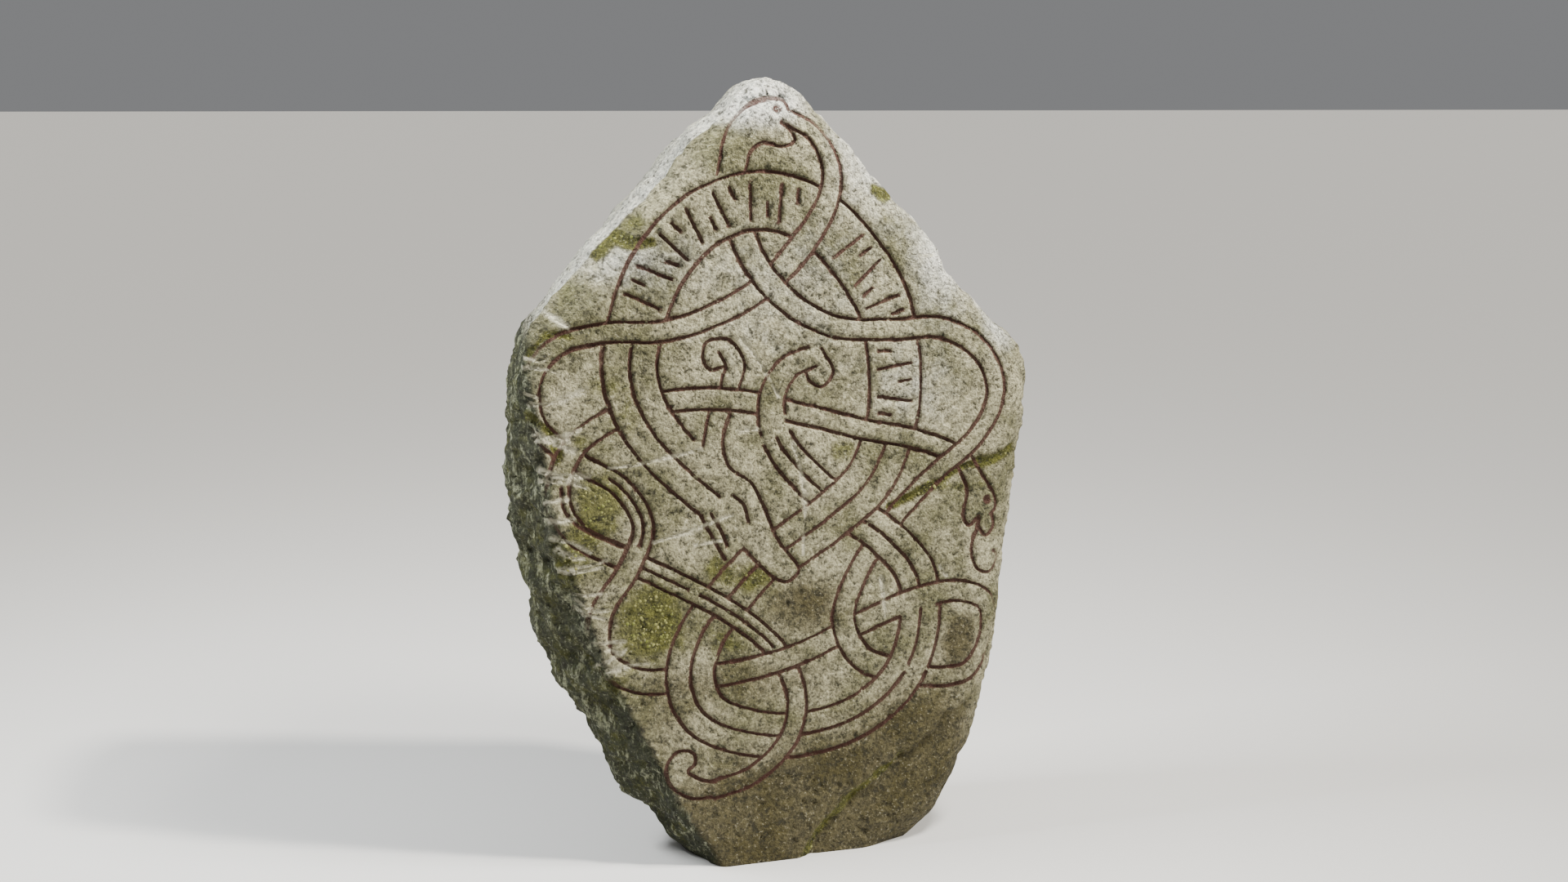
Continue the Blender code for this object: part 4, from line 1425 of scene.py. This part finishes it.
@dataclass(frozen=True)
class StoneFinish:
    """Weathered granite with moss film, faded paint in its cuts, darker patches mostly low down and a
    dark flank that is partly painted shade; painted highlight on its top and upper right, painted
    shade in its clefts and pits.
    """

    light: Colour = (0.46, 0.425, 0.27)
    shade: Colour = (0.19, 0.180, 0.090)
    # Colours of the speckle's low spots, partly painted shade, and of its pale grains, partly painted
    # highlight
    dark: Colour = (0.040, 0.037, 0.018)
    crystal_and_highlight: Colour = (0.82, 0.79, 0.64)
    vein: Colour = (0.86, 0.81, 0.60)
    # Colour of the painted highlight
    painted_highlight: Colour = (0.80, 0.79, 0.70)
    # Colour of the darkening, mostly low down, and of the painted shade in the clefts
    darkening: Colour = (0.054, 0.040, 0.006)
    # Colour of the flank: partly the stone's weathering, partly painted shade
    side: Colour = (0.032, 0.040, 0.018)
    # Colour of the flank's pale streaks, partly painted highlight on its ridges
    streak: Colour = (0.50, 0.52, 0.34)
    moss: Colour = (0.105, 0.106, 0.013)
    paint: Colour = (0.085, 0.030, 0.022)
    relief: float = 0.034

    def material(self) -> bpy.types.Material:
        """Build the material.

        Returns:
            The stone's material, patterned in its own space and by its masks.
        """
        material = bpy.data.materials.new("weathered_granite")
        material.use_nodes = True
        board = Board(material.node_tree)
        shader = material.node_tree.nodes["Principled BSDF"]
        place = board.add("ShaderNodeTexCoord").outputs["Object"]
        mask = {
            name: board.add("ShaderNodeAttribute", attribute_name=name).outputs["Fac"]
            for name in COLOUR_MASKS
        }
        cloud = board.noise(place, 9.0, 6.0, 0.6)
        cloud_fine = board.noise(place, 34.0, 6.0, 0.65)
        base = board.mix(board.ramp(cloud, 0.36, 0.62), self.shade, self.light)
        # Painted highlight: paler where its mask and the fine cloud are strong
        wear_and_highlight = board.math("ADD", mask["painted_highlight"], board.math("MULTIPLY", cloud_fine, 0.9))
        base = board.mix(board.ramp(wear_and_highlight, 0.55, 1.5), base, self.painted_highlight)
        # Darker and browner where the darkening mask is strong: mostly towards the bottom, and painted
        # shade in the clefts
        darkening_amount = board.math("ADD", mask["darkening"], board.math("MULTIPLY", cloud_fine, 0.9))
        base = board.mix(board.math("MULTIPLY", board.ramp(darkening_amount, 0.5, 1.3), 0.85), base, self.darkening)
        # Dark green-black flank colour: partly the stone's weathering, partly painted shade
        flank = board.math("ADD", mask["side"], board.math("MULTIPLY", cloud_fine, 1.1))
        flank = board.math("MULTIPLY", board.ramp(flank, 0.75, 1.35), 0.9)
        base = board.mix(flank, base, self.side)
        # Pale vertical streaks on the flank, on the same noise as its bump ridges: partly painted
        # highlight on the ridges
        tall = board.add("ShaderNodeMapping", {"Vector": place, "Scale": (1.0, 1.0, 0.3)})
        streak = board.noise(tall.outputs[0], 62.0, 6.0, 0.72)
        shown = board.math("MULTIPLY", board.ramp(streak, 0.51, 0.62), flank)
        base = board.mix(board.math("MULTIPLY", shown, 0.80), base, self.streak)
        film = board.math("ADD", mask["moss"], board.math("MULTIPLY", cloud_fine, 1.4))
        film = board.math("MULTIPLY", board.ramp(film, 0.85, 1.45), 0.85)
        base = board.mix(film, base, self.moss)
        # Speckle: painted shade in the bump's low spots and painted highlight on its tops, with
        # mineral grains
        speckle = self._speckle(board, place, base)
        colour = speckle.outputs["Color"]
        flaked = board.noise(place, 120.0, 4.0, 0.6)
        left = board.math("MULTIPLY", mask["paint"], board.ramp(flaked, 0.24, 0.44))
        painted = board.math("MULTIPLY", board.ramp(left, 0.2, 0.8), 0.92)
        colour = board.mix(painted, colour, self.paint)
        fresh = board.math("MULTIPLY", mask["crack"], board.ramp(flaked, 0.30, 0.52))
        colour = board.mix(board.math("MULTIPLY", fresh, 0.80), colour, self.vein)
        board.feed(shader.inputs["Base Color"], colour)
        rough = board.add(
            "ShaderNodeMapRange",
            {"Value": speckle.outputs["Height"], "To Min": 0.78, "To Max": 0.95},
        ).outputs["Result"]
        board.feed(shader.inputs["Roughness"], rough)
        shader.inputs["Specular IOR Level"].default_value = 0.35
        ridges = board.math("MULTIPLY", streak, board.math("MULTIPLY", flank, 1.8))
        height = board.math("ADD", speckle.outputs["Height"], ridges)
        bump = board.add(
            "ShaderNodeBump", {"Strength": 1.0, "Distance": self.relief, "Height": height}
        )
        board.feed(shader.inputs["Normal"], bump.outputs[0])
        return material

    def _speckle(self, board: Board, place: bpy.types.NodeSocket, base: bpy.types.NodeSocket
                 ) -> bpy.types.Node:
        """Place the speckle group with this stone's colours."""
        group = board.tree.nodes.new("ShaderNodeGroup")
        group.node_tree = SpeckleGroup.tree()
        board.feed(group.inputs["Vector"], place)
        board.feed(group.inputs["Base"], base)
        board.feed(group.inputs["Dark"], (*self.dark, 1.0))
        board.feed(group.inputs["Light"], (*self.crystal_and_highlight, 1.0))
        return group


@dataclass(frozen=True)
class MossFinish:
    """Dull olive moss with dry and fresh tips."""

    fresh: Colour = (0.15, 0.17, 0.03)
    dry: Colour = (0.26, 0.25, 0.09)

    def material(self) -> bpy.types.Material:
        """Build the material.

        Returns:
            The moss material, patterned in its own space.
        """
        material = bpy.data.materials.new("dull_moss")
        material.use_nodes = True
        board = Board(material.node_tree)
        shader = material.node_tree.nodes["Principled BSDF"]
        place = board.add("ShaderNodeTexCoord").outputs["Object"]
        cloud = board.noise(place, 40.0, 5.0, 0.6)
        colour = board.mix(board.ramp(cloud, 0.35, 0.65), self.fresh, self.dry)
        board.feed(shader.inputs["Base Color"], colour)
        shader.inputs["Roughness"].default_value = 0.95
        bump = board.add(
            "ShaderNodeBump",
            {"Strength": 0.8, "Distance": 0.001, "Height": board.noise(place, 900.0, 3.0)},
        )
        board.feed(shader.inputs["Normal"], bump.outputs[0])
        return material


@dataclass(frozen=True)
class Sun:
    """Soft light from far away: where it comes from, how wide it looks and how strong it is."""

    name: str
    place: tuple[float, float, float]
    width: float
    strength: float
    colour: Colour = (1.0, 1.0, 1.0)

    def build(self) -> None:
        """Set the light up."""
        light = bpy.data.lights.new(self.name, "SUN")
        light.angle = math.radians(self.width)
        light.energy = self.strength
        light.color = self.colour
        lamp = bpy.data.objects.new(self.name, light)
        lamp.location = self.place
        lamp.rotation_euler = (-Vector(self.place)).to_track_quat("-Z", "Y").to_euler()
        bpy.context.scene.collection.objects.link(lamp)


@dataclass(frozen=True)
class Lamp:
    """One soft square light: where it stands, what it is aimed at, its size and its power."""

    name: str
    place: tuple[float, float, float]
    aim: tuple[float, float, float]
    size: float
    power: float
    colour: Colour = (1.0, 1.0, 1.0)

    def build(self) -> None:
        """Set the lamp up."""
        light = bpy.data.lights.new(self.name, "AREA")
        light.size = self.size
        light.energy = self.power
        light.color = self.colour
        lamp = bpy.data.objects.new(self.name, light)
        lamp.location = self.place
        beam = Vector(self.aim) - Vector(self.place)
        lamp.rotation_euler = beam.to_track_quat("-Z", "Y").to_euler()
        bpy.context.scene.collection.objects.link(lamp)


@dataclass(frozen=True)
class Studio:
    """Pale floor, soft light and the camera at the photograph's angle."""

    azimuth: float = -15.0
    elevation: float = 11.0
    lens: float = 40.0
    distance: float = 3.43325
    aim: tuple[float, float, float] = (0.0423, 0.0, 0.8085)
    floor_size: float = 600.0
    floor_colour: Colour = (0.72, 0.71, 0.69)
    world_colour: Colour = (0.80, 0.81, 0.83)
    world_strength: float = 0.27
    lamps: tuple[Sun | Lamp, ...] = (
        Sun("key", (2.9, -1.75, 3.2), 4.0, 3.7, (1.0, 0.96, 0.88)),
        Lamp("crown", (0.9, -0.9, 2.8), (0.0, 0.0, 1.40), 0.5, 110.0, (1.0, 0.98, 0.93)),
        Lamp("rim", (-1.9, 0.1, 2.7), (-0.2, 0.0, 1.0), 0.7, 130.0, (0.96, 0.99, 1.0)),
    )

    def build(self, shift: Vector) -> None:
        """Set up the studio.

        Args:
            shift: How far the stone stands from where the drawing puts it.
        """
        self._floor()
        self._world()
        for lamp in self.lamps:
            lamp.build()
        self._camera(shift)

    def _floor(self) -> None:
        """Lay the floor."""
        mesh = bmesh.new()
        bmesh.ops.create_grid(mesh, x_segments=1, y_segments=1, size=self.floor_size / 2)
        data = bpy.data.meshes.new("floor")
        mesh.to_mesh(data)
        mesh.free()
        material = bpy.data.materials.new("floor")
        material.use_nodes = True
        shader = material.node_tree.nodes["Principled BSDF"]
        shader.inputs["Base Color"].default_value = (*self.floor_colour, 1.0)
        shader.inputs["Roughness"].default_value = 0.8
        data.materials.append(material)
        floor = bpy.data.objects.new("floor", data)
        bpy.context.scene.collection.objects.link(floor)

    def _world(self) -> None:
        """Light the room evenly."""
        world = bpy.data.worlds.new("studio")
        world.use_nodes = True
        sky = world.node_tree.nodes["Background"]
        sky.inputs["Color"].default_value = (*self.world_colour, 1.0)
        sky.inputs["Strength"].default_value = self.world_strength
        bpy.context.scene.world = world

    def _camera(self, shift: Vector) -> None:
        """Place the camera."""
        turn, rise = math.radians(self.azimuth), math.radians(self.elevation)
        level = math.cos(rise)
        back = Vector((math.sin(turn) * level, -math.cos(turn) * level, math.sin(rise)))
        data = bpy.data.cameras.new("camera")
        data.lens = self.lens
        data.sensor_width = 36.0
        camera = bpy.data.objects.new("camera", data)
        camera.location = Vector(self.aim) + shift + self.distance * back
        camera.rotation_euler = (-back).to_track_quat("-Z", "Y").to_euler()
        bpy.context.scene.collection.objects.link(camera)
        bpy.context.scene.camera = camera


def dress(pieces: Iterable[bpy.types.Object]) -> None:
    """Let the pieces ride on the stone's body.

    Args:
        pieces: Finished pieces.
    """
    for piece in pieces:
        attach(piece, BODY)


def main() -> None:
    """Build the stone, its growth and the studio."""
    logging.basicConfig(level=logging.INFO, format="%(name)s: %(message)s")
    drawing = FaceDrawing()
    form = StoneForm(drawing)
    stone = form.build()
    Weathering().apply(stone, StoneFinish().material())
    moss = Growth().build(stone, MossFinish().material())
    dress((stone, moss))
    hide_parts(NODE)
    Studio().build(form.shift)


if __name__ == "__main__":
    main()
